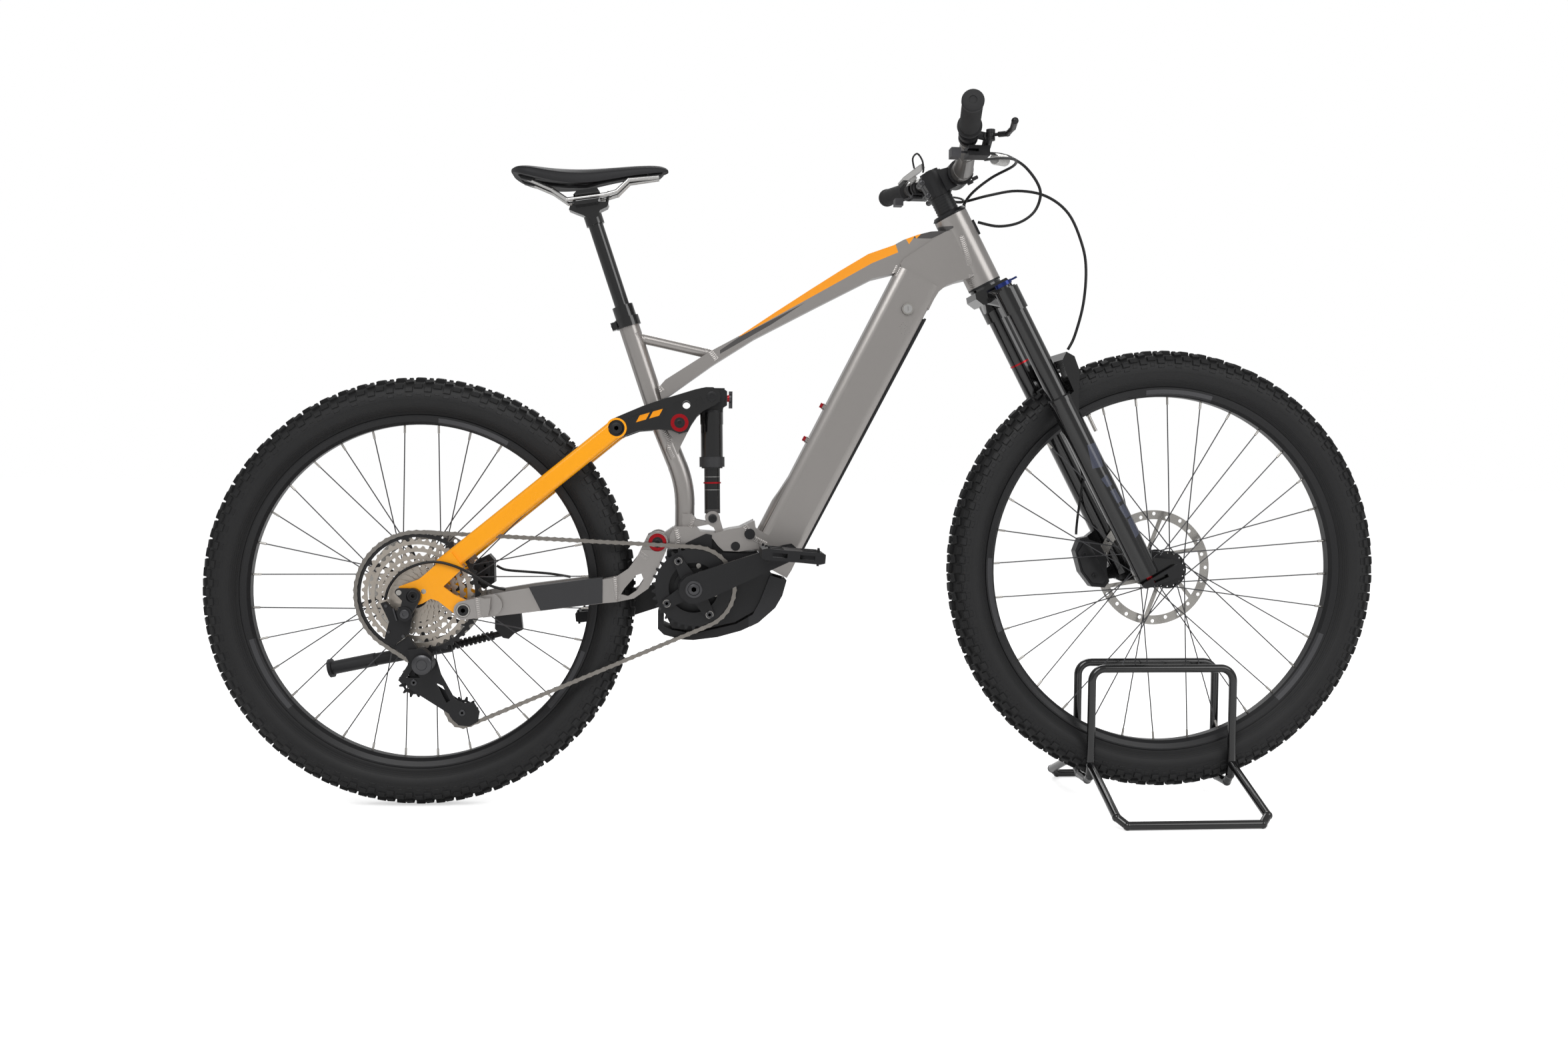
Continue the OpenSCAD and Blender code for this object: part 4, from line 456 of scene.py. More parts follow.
# --- mesh shop
class Shape:
    """A bmesh in millimetres about the bottom bracket, turned into an object in metres."""

    def __init__(self) -> None:
        """Starts empty."""
        self.bm = bmesh.new()

    def settle(self, verts: Iterable[Vert], matrix: Matrix) -> None:
        """Moves new vertices by a matrix."""
        bmesh.ops.transform(self.bm, matrix=matrix, verts=list(verts))

    def since(self, before: set[Vert]) -> list[Vert]:
        """Vertices made after a set of them was taken."""
        return [v for v in self.bm.verts if v not in before]

    def outward(self, verts: Iterable[Vert]) -> None:
        """Turns the faces at some vertices outward."""
        bmesh.ops.recalc_face_normals(self.bm, faces=list({f for v in verts for f in v.link_faces}))

    def bevel(self, edges: Iterable[Edge], width: float, segments: int) -> None:
        """Rounds some edges."""
        bmesh.ops.bevel(self.bm, geom=list(edges), offset=width, segments=segments, profile=0.5, affect="EDGES",
                        material=-1)

    def extrude(self, faces: Sequence[Face], depth: float) -> list[Vert]:
        """Pulls flat faces into a solid along y and returns the new vertices."""
        out = bmesh.ops.extrude_face_region(self.bm, geom=list(faces))["geom"]
        moved = [v for v in out if isinstance(v, Vert)]
        bmesh.ops.translate(self.bm, verts=moved, vec=(0, depth, 0))
        return moved

    @staticmethod
    def aim(start: Sequence[float], end: Sequence[float]) -> Matrix:
        """Matrix that takes the z axis from the origin onto a line."""
        a, b = Vector(start), Vector(end)
        return Matrix.Translation(a) @ (b - a).to_track_quat("Z", "Y").to_matrix().to_4x4()

    def rod(self, start: Point, end: Point, d: float, d2: float, segments: int) -> list[Vert]:
        """Round bar between two points, of diameter d at the start and d2 at the end."""
        length = dist(start, end)
        made = bmesh.ops.create_cone(self.bm, cap_ends=True, segments=segments, radius1=d / 2, radius2=d2 / 2,
                                     depth=length, matrix=Matrix.Translation((0, 0, length / 2)))["verts"]
        self.settle(made, self.aim(start, end))
        return made

    def slab(self, corners: Sequence[Spot], y0: float, y1: float, bevel: float = 0.0,
             segments: int = 2) -> list[Vert]:
        """Plate with an outline of the side view.

        Args:
            corners: Outline as x and z.
            y0: One face.
            y1: The other face.
            bevel: Width of its rounded edges.
            segments: Steps of the rounding.

        Returns:
            Its vertices.
        """
        before = set(self.bm.verts)
        self.extrude([self.bm.faces.new([self.bm.verts.new((x, y0, z)) for x, z in corners])], y1 - y0)
        made = self.since(before)
        self.outward(made)
        if bevel:
            caps = {f for v in made for f in v.link_faces if abs(f.normal.y) > 0.9}
            self.bevel({e for f in caps for e in f.edges}, bevel, segments)
            made = self.since(before)
        return made

    def lathe(self, profile: Sequence[Spot], start: Sequence[float], end: Sequence[float], steps: int = 40) -> None:
        """Closed turned shape about a line.

        Args:
            profile: Radius and distance along the line; closed where it starts and ends at the same point or axis.
            start: Origin of the line.
            end: A further point on the line.
            steps: Facets round it.
        """
        before = set(self.bm.verts)
        verts = [self.bm.verts.new((r, 0, h)) for r, h in profile]
        edges = [self.bm.edges.new(pair) for pair in zip(verts, verts[1:])]
        if profile[0][0] > 1e-6 or profile[-1][0] > 1e-6:
            edges.append(self.bm.edges.new((verts[-1], verts[0])))
        bmesh.ops.spin(self.bm, geom=verts + edges, cent=(0, 0, 0), axis=(0, 0, 1), dvec=(0, 0, 0), angle=2 * pi,
                       steps=steps, use_merge=True, use_duplicate=False)
        bmesh.ops.remove_doubles(self.bm, verts=self.since(before), dist=1e-4)
        made = self.since(before)
        self.outward(made)
        self.settle(made, self.aim(start, end))

    def bolt(self, head: Point, out: Point, d: float, tall: float, key: float) -> None:
        """Socket head bolt with a hexagon recess.

        Args:
            head: Middle of the seat of its head.
            out: Direction that the head faces.
            d: Diameter of the head.
            tall: Height of the head.
            key: Width across the corners of the recess.
        """
        before = set(self.bm.verts)
        rings = []
        for radius, height, count in ((d / 2, 0, 18), (d / 2, tall * 0.82, 18), (d * 0.43, tall, 18),
                                      (key / 2, tall, 6)):
            made = bmesh.ops.create_circle(self.bm, segments=count, radius=radius,
                                           matrix=Matrix.Translation((0, 0, height)))["verts"]
            rings.append({e for v in made for e in v.link_edges})
        for low, high in zip(rings, rings[1:]):
            bmesh.ops.bridge_loops(self.bm, edges=list(low | high))
        inner = bmesh.ops.extrude_edge_only(self.bm, edges=list(rings[-1]))["geom"]
        deep = [v for v in inner if isinstance(v, Vert)]
        bmesh.ops.translate(self.bm, verts=deep, vec=(0, 0, -tall * 0.7))
        for rim in ([e for e in inner if isinstance(e, Edge)], list(rings[0])):
            bmesh.ops.contextual_create(self.bm, geom=rim)
        made = self.since(before)
        self.outward(made)
        self.settle(made, self.aim(head, Vector(head) + Vector(out)))

    def mirror(self) -> None:
        """Adds the same shape on the other side of the middle plane."""
        copy = bmesh.ops.duplicate(self.bm, geom=self.bm.verts[:] + self.bm.edges[:] + self.bm.faces[:])["geom"]
        bmesh.ops.scale(self.bm, vec=(1, -1, 1), verts=[v for v in copy if isinstance(v, Vert)])
        bmesh.ops.reverse_faces(self.bm, faces=[f for f in copy if isinstance(f, Face)])

    def piece(self, name: str, body: Optional[str], slot: str, dress: Material, steered: bool = False,
              smooth: float = 35.0) -> Object:
        """Finishes the shape as a piece of the model.

        Args:
            name: Its name.
            body: Body that it rides on, or None to leave it unattached.
            slot: Not used.
            dress: Its material.
            steered: Whether it turns with the front end.
            smooth: Angle below which its edges are smooth.

        Returns:
            The object, at the origin.
        """
        matrix = Matrix.Diagonal((0.001, 0.001, 0.001, 1)) @ Matrix.Translation((-X_MID, 0, 0))
        self.settle(self.bm.verts, steer_matrix() @ matrix if steered else matrix)
        mesh = bpy.data.meshes.new(name)
        self.bm.to_mesh(mesh)
        self.bm.free()
        mesh.polygons.foreach_set("use_smooth", [True] * len(mesh.polygons))
        mesh.set_sharp_from_angle(angle=radians(smooth))
        mesh.materials.append(dress)
        thing = add(name, mesh)
        if body:
            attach(thing, body)
        LOG.info("%s: %d faces on %s", name, len(mesh.polygons), body)
        return thing


# --- stage
@dataclass
class Studio:
    """Camera, pale floor and soft lights."""

    eye: Point = (-9.6, -2634.2, 597.3)
    azimuth: float = radians(3.56)
    pitch: float = radians(2.45)
    roll: float = radians(0.56)
    lens: float = 35.27
    floor_glow: float = 0.57
    surround: float = 0.48

    def camera(self) -> None:
        """Places the camera at the viewing angle."""
        a, p, tilt = self.azimuth, self.pitch, self.roll
        ahead = Vector((sin(a) * cos(p), cos(a) * cos(p), -sin(p)))
        level = Vector((cos(a), -sin(a), 0))
        upward = level.cross(ahead)
        axes = (level * cos(tilt) + upward * sin(tilt), upward * cos(tilt) - level * sin(tilt), -ahead)
        data = bpy.data.cameras.new("camera")
        data.lens, data.sensor_width, data.sensor_fit = self.lens, 36.0, "HORIZONTAL"
        data.clip_end = 100.0
        thing = add("camera", data)
        thing.matrix_world = Matrix.Translation(mm(*self.eye)) @ Matrix(axes).transposed().to_4x4()
        bpy.context.scene.camera = thing

    def floor(self) -> None:
        """Lays the plain pale floor, just below the tyres."""
        bm = bmesh.new()
        bmesh.ops.create_grid(bm, x_segments=2, y_segments=2, size=30.0, matrix=Matrix.Translation((0, 0, -0.0005)))
        mesh = bpy.data.meshes.new("floor")
        bm.to_mesh(mesh)
        bm.free()
        paint = Paint("floor")
        seen = paint.node("ShaderNodeLightPath", {}, {})
        paint.dress(Base_Color=paint.blend(paint.noise(1.5, 2.0), srgb(246, 246, 246), srgb(250, 250, 250)),
                    Roughness=0.9, Specular_IOR_Level=0.1, Emission_Color=(1.0, 1.0, 1.0, 1.0),
                    Emission_Strength=seen * self.floor_glow)
        mesh.materials.append(paint.material)
        add("floor", mesh)

    def lamps(self) -> None:
        """Hangs three soft lamps and a pale surround."""
        middle = Vector((0.1, 0, 0.5))
        for name, place, size, power in (("key", (-1.0, -3.2, 3.4), 2.6, 74.0), ("fill", (2.6, -2.4, 2.2), 2.2, 30.0),
                                         ("back", (0.4, 2.8, 3.2), 2.4, 48.0)):
            data = bpy.data.lights.new(name, "AREA")
            data.shape, data.size, data.energy = "DISK", size, power
            thing = add(name, data)
            thing.location = place
            thing.rotation_euler = (middle - Vector(place)).to_track_quat("-Z", "Y").to_euler()
        world = bpy.data.worlds.new("surround")
        bpy.context.scene.world = world
        world.use_nodes = True
        nodes = world.node_tree.nodes
        nodes.clear()
        path, seen, level, back, output = (nodes.new("ShaderNode" + kind) for kind in (
            "LightPath", "Math", "MapRange", "Background", "OutputWorld"))
        seen.operation = "MAXIMUM"
        level.inputs["To Min"].default_value = self.surround
        level.inputs["To Max"].default_value = 1.0
        back.inputs["Color"].default_value = (1.0, 1.0, 1.0, 1.0)
        for source, target in ((path.outputs["Is Camera Ray"], seen.inputs[0]),
                               (path.outputs["Is Transmission Ray"], seen.inputs[1]),
                               (seen.outputs[0], level.inputs["Value"]), (level.outputs[0], back.inputs["Strength"]),
                               (back.outputs[0], output.inputs[0])):
            world.node_tree.links.new(source, target)

    def build(self) -> None:
        """Sets up the whole stage."""
        bpy.context.scene.view_settings.view_transform = "Standard"
        self.camera()
        self.floor()
        self.lamps()


# --- cords
@dataclass(frozen=True)
class Bend:
    """Two joined bodies, and where a piece leaves the one and reaches the other."""

    near: str
    far: str
    leaves: Point
    reaches: Point

    def apply(self, thing: Object) -> None:
        """Bakes the placement of a finished mesh into it."""
        mm(*self.leaves)
        mm(*self.reaches)
        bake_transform(thing)


@dataclass(frozen=True)
class Line:
    """One hose or cable as a smooth run through its points in millimetres."""

    name: str
    points: tuple[Point, ...]
    diameter: float
    bend: Optional[Bend] = None
    body: str = ""
    steps: int = 6

    def route(self) -> list[Vector]:
        """Points of the smooth run in metres."""
        ends = [Vector(p) for p in self.points]
        out = []
        for i in range(len(ends) - 1):
            a, b, c, d = (ends[max(0, min(len(ends) - 1, i + k))] for k in (-1, 0, 1, 2))
            for t in (j / self.steps for j in range(self.steps)):
                out.append(0.5 * (2 * b + (c - a) * t + (2 * a - 5 * b + 4 * c - d) * t * t
                                  + (3 * b - a - 3 * c + d) * t ** 3))
        return [mm(*p) for p in (*out, ends[-1])]

    def as_mesh(self, curve: Object) -> Object:
        """Closed tube mesh in place of the curve."""
        bpy.context.view_layer.update()
        mesh = bpy.data.meshes.new_from_object(curve.evaluated_get(bpy.context.evaluated_depsgraph_get()))
        bpy.data.objects.remove(curve)
        bm = bmesh.new()
        bm.from_mesh(mesh)
        bmesh.ops.remove_doubles(bm, verts=bm.verts[:], dist=1e-6)
        bm.to_mesh(mesh)
        bm.free()
        return add(self.name, mesh)

    def build(self, dress: Material) -> Object:
        """Args:
            dress: Its material.

        Returns:
            The cord's object.
        """
        route = self.route()
        curve = bpy.data.curves.new(self.name, "CURVE")
        curve.dimensions = "3D"
        curve.bevel_depth, curve.bevel_resolution, curve.use_fill_caps = self.diameter / 2000, 3, True
        spline = curve.splines.new("POLY")
        spline.points.add(len(route) - 1)
        for knot, place in zip(spline.points, route):
            knot.co = (*place, 1.0)
        spline.use_smooth = True
        curve.materials.append(dress)
        thing = add(self.name, curve)
        if self.bend:
            thing = self.as_mesh(thing)
            self.bend.apply(thing)
        else:
            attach(thing, self.body)
        return thing


LINES = (
    Line("brake_line_right", (
        (462, -150, 1092), (500, -100, 1100), (532, -40, 1106), (562, -10, 1097), (585, 0, 1073), (592, 4, 1051),
        (582, 6, 1024), (556, 6, 1005), (520, 6, 998), (484, 4, 1004)), 5.0,
        Bend("frame", "steering", (500, 0, 1030), (480, -135, 1095))),
    Line("gear_line", (
        (462, -166, 1078), (504, -110, 1092), (536, -50, 1101), (540, -10, 1098), (510, 26, 1084), (478, 40, 1058),
        (462, 40, 1030), (463, 35, 1004)), 5.0,
        Bend("frame", "steering", (480, 36, 1030), (470, -150, 1085))),
    Line("brake_line_left", (
        (464, 150, 1092), (450, 110, 1062), (466, 72, 1049), (510, 52, 1058), (560, 45, 1066), (610, 40, 1057),
        (650, 38, 1027), (674, 36, 975), (682, 35, 930), (678, 34, 870), (664, 34, 815), (652, 34, 790)), 5.0,
        Bend("steering", "fork_lower", (650, 38, 1027), (655, 34, 805))),
    Line("caliper_line", (
        (688, 41, 604), (690, 41, 580), (683, 42, 545), (678, 45, 500), (676, 46, 476), (675.4, 45, 465)), 4.4,
        body="fork_lower"),
    Line("post_line", (
        (424, 180, 1078), (452, 120, 1066), (470, 70, 1052), (466, 44, 1024), (470, 36, 992)), 4.0,
        Bend("frame", "steering", (470, 44, 1020), (440, 150, 1072))),
    Line("display_line", (
        (396, 168, 1124), (393, 168, 1142), (401, 168, 1151), (410, 168, 1140), (413, 168, 1125), (412, 168, 1117)),
        3.4, body="steering"),
    Line("gear_housing", (
        (-508, -74, 356), (-500, -79, 378), (-482, -82.6, 400), (-452, -85.2, 415), (-422, -85.4, 419),
        (-392, -86, 412), (-364, -82.6, 398), (-338, -71, 380), (-314, -58, 371.6)), 4.6,
        Bend("swingarm", "seatstay", (-335, -70, 380), (-480, -82, 400))),
    Line("rear_brake_line", (
        (-342, 60, 403), (-326, 59, 396), (-290, 57, 393), (-250, 56, 390), (-214, 55, 384.6)), 4.6,
        Bend("swingarm", "seatstay", (-250, 56, 390), (-335, 60, 402))),
)


# --- wheels
@dataclass
class Tyre:
    """Knobbly tyre: a turned casing with rows of tread blocks."""

    end: str
    hub: Spot
    outer: float
    width: float
    bead: float
    pitches: int
    steered: bool = False
    knob: float = 6.4
    sunk: float = 2.4
    taper: float = 0.84
    rounding: float = 0.55
    shoulder: float = radians(62)

    def casing(self, shape: Shape) -> None:
        """Turns the casing about the wheel axis."""
        h, b, r = self.width / 2, self.bead, self.outer - self.knob
        outer = [(b + 0.8, -13.3), (b + 5.5, -16.9), (b + 8, -18.9), (b + 10, -20.6), (b + 15, -h * 0.80),
                 (b + 22, -h * 0.93), (b + 30, -h * 0.985), (r - 20, -h * 0.97), (r - 12, -h * 0.87),
                 (r - 5, -h * 0.66), (r - 1.4, -h * 0.38), (r, -h * 0.14)]
        inner = [(b + 1.6, 12), (b + 9, 14.5), (b + 17, h * 0.74), (b + 27, h - 5), (r - 22, h - 6),
                 (r - 13, h * 0.62), (r - 8, h * 0.3)]
        ring = outer + [(x, -y) for x, y in reversed(outer)] + inner + [(x, -y) for x, y in reversed(inner)]
        shape.lathe([*ring, ring[0]], (self.hub[0], 0, self.hub[1]), (self.hub[0], 1, self.hub[1]), 144)

    def block(self, shape: Shape, angle: float, lean: float, long: float, wide: float, tall: float,
              skew: float) -> None:
        """One tread block.

        Args:
            shape: Where it is made.
            angle: Its place round the tyre, in degrees.
            lean: Its place across the crown: 0 in the middle, 1 at the shoulder.
            long: Size round the tyre.
            wide: Size across the tyre.
            tall: Height.
            skew: Turn about its own height, in degrees.
        """
        h, r = self.width / 2, self.outer - self.knob
        tilt = self.shoulder * lean
        before = set(shape.bm.verts)
        size = Matrix.Diagonal((long, wide, tall + self.sunk, 1))
        made = bmesh.ops.create_cube(shape.bm, size=1.0, matrix=size)["verts"]
        top = [v for v in made if v.co.z > 0]
        bmesh.ops.scale(shape.bm, vec=(self.taper, self.taper, 1), verts=top)
        shape.bevel({e for v in top for e in v.link_edges if all(w in top for w in e.verts)}, self.rounding, 1)
        shape.settle(shape.since(before), Matrix.Rotation(radians(-angle), 4, "Y")
                     @ Matrix.Translation((0, h * 0.93 * sin(tilt), r - h * 0.9 * (1 - cos(tilt))))
                     @ Matrix.Rotation(-tilt, 4, "X") @ Matrix.Translation((0, 0, tall / 2 - 1.4))
                     @ Matrix.Rotation(radians(skew), 4, "Z"))

    def rubber(self) -> Material:
        """Rubber with moulded ribs on the side walls."""
        def ribs(paint: Paint) -> Sock:
            """Fine rings near the bead and the shoulder."""
            reach = paint.distance(self.hub)
            near = (reach < self.bead + 20) * (reach > self.bead + 8)
            rings = (reach * (2 * pi / 2.4)).math("SINE").ramp(0.2, 0.8) * near
            seam = (reach - (self.bead + 31)).math("ABSOLUTE") < 0.8
            return rings * 0.4 + seam * 0.8
        side = Mark(disc(self.hub, self.outer - 19, self.bead - 8), TYRE_SIDE)
        return material(self.end + "_rubber", TYRE, [side], ribs, 0.5)

    def build(self) -> None:
        """Makes the tyre in place of its CAD solid."""
        shape, k = Shape(), self.knob
        step = 360 / self.pitches
        for side in SIDES:
            for turn, lean, long, wide, tall, skew in (
                    (0, 0.17, 17, 9.6, k, 8), (0.5, 0.52, 15, 10.4, k + 0.2, -14), (0.02, 0.84, 15, 10.4, k, 0),
                    (0.5, 1.0, 14, 11.0, k - 0.4, 0), (0.5, 1.22, 12, 9.0, 3.0, 0), (0, 1.14, 9, 8.0, 3.4, 0)):
                self.block(shape, step * turn, side * lean, long, wide, tall, side * skew)
        self.block(shape, step * 0.5, 0.0, 7, 9, k * 0.9, 0.0)
        bmesh.ops.spin(shape.bm, geom=shape.bm.verts[:] + shape.bm.edges[:] + shape.bm.faces[:], cent=(0, 0, 0),
                       axis=(0, 1, 0), dvec=(0, 0, 0), angle=2 * pi * (1 - 1 / self.pitches),
                       steps=self.pitches - 1, use_duplicate=True, use_merge=False)
        bmesh.ops.translate(shape.bm, verts=shape.bm.verts[:], vec=(self.hub[0], 0, self.hub[1]))
        self.casing(shape)
        thing = shape.piece(self.end + "_tread", self.end + "_wheel", "tyre_rubber", self.rubber(), self.steered,
                            40.0)
        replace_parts(thing, self.end + "_tyre")


# --- drive
@dataclass
class Chain:
    """Roller chain round the ring, the largest sprocket and the two pulleys."""

    split: float = -300.0
    plate_r: float = 3.9
    waist: float = 2.7
    roller_d: float = 3.7
    pin_half: float = 3.35
    wraps: tuple[tuple[float, float, float, float], ...] = (
        (*BB, 68.8, -55.0), (*REAR_AXLE, 103.1, -38.0), (*GUIDE, -24.5, -38.0), (*TENSION, 24.5, -39.0))

    def line_deg(self, i: int, j: int) -> float:
        """Direction of the straight run between two wraps, in degrees."""
        a, b = self.wraps[i % 4], self.wraps[j % 4]
        dx, dz = b[0] - a[0], b[1] - a[1]
        return degrees(atan2(dz, dx) + asin((a[2] - b[2]) / hypot(dx, dz)))

    def path(self) -> list[Vector]:
        """Closed line of the chain in millimetres."""
        points = []
        for i, (x, z, r, y) in enumerate(self.wraps):
            first, last = self.line_deg(i + 3, i), self.line_deg(i, i + 1)
            turn = last - first
            turn -= 360 * (floor(turn / 360) if r > 0 else ceil(turn / 360))
            for a in (radians(first + turn * k / 40) for k in range(41)):
                points.append(Vector((x + r * sin(a), y, z - r * cos(a))))
        return points + points[:1]

    def stations(self) -> list[Vector]:
        """Places of the rollers, an even number at about one pitch."""
        path = self.path()
        spans = [(b - a).length for a, b in zip(path, path[1:])]
        count = 2 * round(sum(spans) / CHAIN_PITCH / 2)
        step, out, at, i = sum(spans) / count, [], 0.0, 0
        for k in range(count):
            while at + spans[i] < k * step:
                at += spans[i]
                i += 1
            out.append(path[i].lerp(path[i + 1], (k * step - at) / spans[i]))
        return out

    def link(self, shape: Shape, start: Vector, end: Vector, outer: bool) -> None:
        """Two side plates and a roller between neighbouring stations."""
        length = (end - start).length
        ring = []
        for at, turn in ((0.0, 180), (length, 0)):
            for a in (radians(turn - 76 + 38 * k) for k in range(5)):
                ring.append((at + self.plate_r * cos(a), self.plate_r * sin(a)))
            ring.append((length / 2, self.waist if turn == 0 else -self.waist))
        seat = (Matrix.Translation(start) @ Matrix.Rotation(-atan2(end.z - start.z, end.x - start.x), 4, "Y")
                @ Matrix.Rotation(atan2(end.y - start.y, length), 4, "Z"))
        for side in SIDES:
            y = side * (2.85 if outer else 1.9)
            shape.settle(shape.slab(ring, y - 0.45, y + 0.45), seat)
        pin, d = (0, self.pin_half, 0), self.roller_d
        shape.settle(shape.rod((0, -self.pin_half, 0), pin, d, d, 8), seat)

    def build(self, dress: Material) -> None:
        """Makes the chain in two lengths in place of its CAD ribbon."""
        places = self.stations()
        for name, rear, bend in (
                ("chain_links", False, Bend("frame", "swingarm", (-75, 0, 450), (-260, 0, 450))),
                ("chain_rear_links", True, Bend("swingarm", "seatstay", (self.split, 0, 450), (-350, 0, 450)))):
            shape = Shape()
            for k, (a, b) in enumerate(zip(places, places[1:] + places[:1])):
                if ((a.x + b.x) / 2 < self.split) == rear:
                    self.link(shape, a, b, k % 2 == 0)
            links = shape.piece(name, None, "steel", dress)
            bend.apply(links)
            if not rear:
                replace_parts(links, "chain")


@dataclass
class Cassette:
    """Twelve toothed sprockets on an open spider."""

    teeth: tuple[int, ...] = (51, 45, 39, 33, 28, 24, 21, 18, 16, 14, 12, 10)
    first: float = -38.0
    step: float = 2.75
    bore: float = 17.7
    spider: int = 8

    def ring(self, shape: Shape, reach: float, count: int, y: float, inner: float) -> None:
        """One toothed ring.

        Args:
            shape: Where it is made.
            reach: Radius of its pitch circle.
            count: Number of teeth.
            y: Its middle plane.
            inner: Radius of its opening.
        """
        rim, hole = [], []
        for k in range(count):
            for turn, rise in ((-0.11, 1.4), (0.11, 1.4), (0.36, -2.6), (0.64, -2.6)):
                a = (k + turn) * 2 * pi / count
                for loop, radius in ((rim, reach + rise), (hole, inner)):
                    loop.append(shape.bm.verts.new((REAR_AXLE[0] + radius * cos(a), y - 0.9,
                                                    REAR_AXLE[1] + radius * sin(a))))
        around = list(zip(rim, rim[1:] + rim[:1], hole[1:] + hole[:1], hole))
        moved = shape.extrude([shape.bm.faces.new(corners) for corners in around], 1.8)
        shape.outward(rim + hole + moved)

    def arm(self, shape: Shape, y: float, low: float, high: float, deg: float, wide: float) -> None:
        """One swept arm between the hub and a ring."""
        corners = []
        for radius, lean, side in ((low, 0, -1), ((low + high) / 2, 4, -0.7), (high, 12, -1.1), (high, 12, 1.1),
                                   ((low + high) / 2, 4, 0.7), (low, 0, 1)):
            a, off = radians(deg + lean), side * wide / 2
            corners.append((REAR_AXLE[0] + radius * cos(a) - off * sin(a),
                            REAR_AXLE[1] + radius * sin(a) + off * cos(a)))
        shape.slab(corners, y - 0.8, y + 0.8, 0.3, 1)

    def build(self, dress: Material) -> None:
        """Makes the cassette in place of its CAD solid."""
        shape = Shape()
        for i, count in enumerate(self.teeth):
            reach, y = CHAIN_PITCH / 2 / sin(pi / count), self.first - self.step * i
            inner = reach - (8.6 if i < self.spider else 6.4 if i < 10 else 3.8)
            self.ring(shape, reach, count, y, max(inner, self.bore))
            for k in range(8 if i < self.spider else 0):
                self.arm(shape, y, 19.6, inner + 1.2, 45 * k + 9 * i, 7.4 if i == 0 else 5.6)
        shape.lathe([(17.6, 36.7), (21, 36.7), (21, 58), (19.4, 58.6), (19.4, 69), (17.6, 69), (17.6, 36.7)],
                    (REAR_AXLE[0], 0, REAR_AXLE[1]), (REAR_AXLE[0], -1, REAR_AXLE[1]), 48)
        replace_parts(shape.piece("cassette_rings", "cassette", "steel", dress), "cassette")


# --- saddle and grips
@dataclass
class Saddle:
    """Padded saddle with its hard shell below."""

    nose: float = -47.8
    tail: float = -308.6
    half_width: float = 71.5
    sides: tuple[tuple[float, float, float, float], ...] = (
        # x, half width, height of the top, height of the lower edge
        (-308.6, 30, 1073, 1066.5), (-302, 55, 1078, 1062), (-290, 67, 1079.6, 1058), (-270, 71.5, 1078.6, 1053.5),
        (-245, 62, 1076.6, 1049), (-215, 46.5, 1076.4, 1046.5), (-185, 33, 1078.2, 1048.5),
        (-150, 25.5, 1081.8, 1057), (-100, 21, 1086.6, 1067.5), (-66, 18.6, 1087.8, 1071.5), (-52, 14, 1085.6, 1074), (-47.8, 7, 1080, 1077))

    def section(self, x: float) -> tuple[float, float, float]:
        """Half width, top and lower edge at a place along the saddle."""
        for a, b in zip(self.sides, self.sides[1:]):
            if x <= b[0] + 1e-6:
                t = max(0.0, (x - a[0]) / (b[0] - a[0]))
                t = t * t * (3 - 2 * t) * 0.35 + t * 0.65
                return tuple(low + (high - low) * t for low, high in zip(a[1:], b[1:]))
        return self.sides[-1][1:]

    def cover(self, dress: Material, half_width: float) -> None:
        """Crowned pad of a given half width whose sides roll under, in place of its CAD solid."""
        shape = Shape()
        bmesh.ops.create_cube(shape.bm, size=2.0)
        bmesh.ops.subdivide_edges(shape.bm, edges=shape.bm.edges[:], cuts=15, use_grid_fill=True)
        for vert in shape.bm.verts:
            u, v, w = vert.co
            x = self.tail + (self.nose - self.tail) * (0.5 + 0.5 * sin(u * pi / 2))
            half, top, low = self.section(x)
            half *= half_width / self.half_width
            reach = sin(v * pi / 2) if abs(w) > 0.999 else v
            if w > 0.999:
                groove = 2.6 * exp(-(reach * half / 9) ** 2) * max(0.0, min(1.0, (x + 300) / 50, (-80 - x) / 60))
                z = low + (top - low) * (1 - 0.42 * abs(reach) ** 2.6) - groove
            elif w < -0.999:
                z = low + 1.5 + 0.12 * (top - low) * (1 - reach * reach)
                half *= 0.93
            else:
                z = low + (top - low) * 0.58 * (w + 1) / 2
                half *= 0.95 + 0.05 * sin((w + 1) * pi / 2)
            vert.co = (x, reach * half, z)
        shape.outward(shape.bm.verts)
        bmesh.ops.smooth_vert(shape.bm, verts=shape.bm.verts[:], factor=0.5, use_axis_x=True, use_axis_y=True,
                              use_axis_z=True)
        thing = shape.piece("saddle_pad", "seat", "saddle_cover", dress, smooth=180.0)
        soft = thing.modifiers.new("soft", "SUBSURF")
        soft.levels = soft.render_levels = 2
        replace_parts(thing, "saddle")

    def shell(self, dress: Material) -> None:
        """Hard base under the pad with sockets for the rails."""
        shape = Shape()
        upper = [(x, low + 4.5) for x, _, _, low in self.sides[1:-1]]
        lower = [(x, low - 0.2) for x, _, _, low in reversed(self.sides[2:-2])]
        shape.slab(upper + lower, -6, 6, 1.0)
        for side in SIDES:
            shape.slab([(-298, 1062), (-292, 1056), (-276, 1052.5), (-270, 1057), (-280, 1064)], side * 16, side * 34,
                       2.0)
        shape.slab([(-84, 1072), (-78, 1066), (-62, 1067), (-56, 1073)], -14, 14, 2.0)
        shape.piece("saddle_base", "seat", "black_plastic", dress)


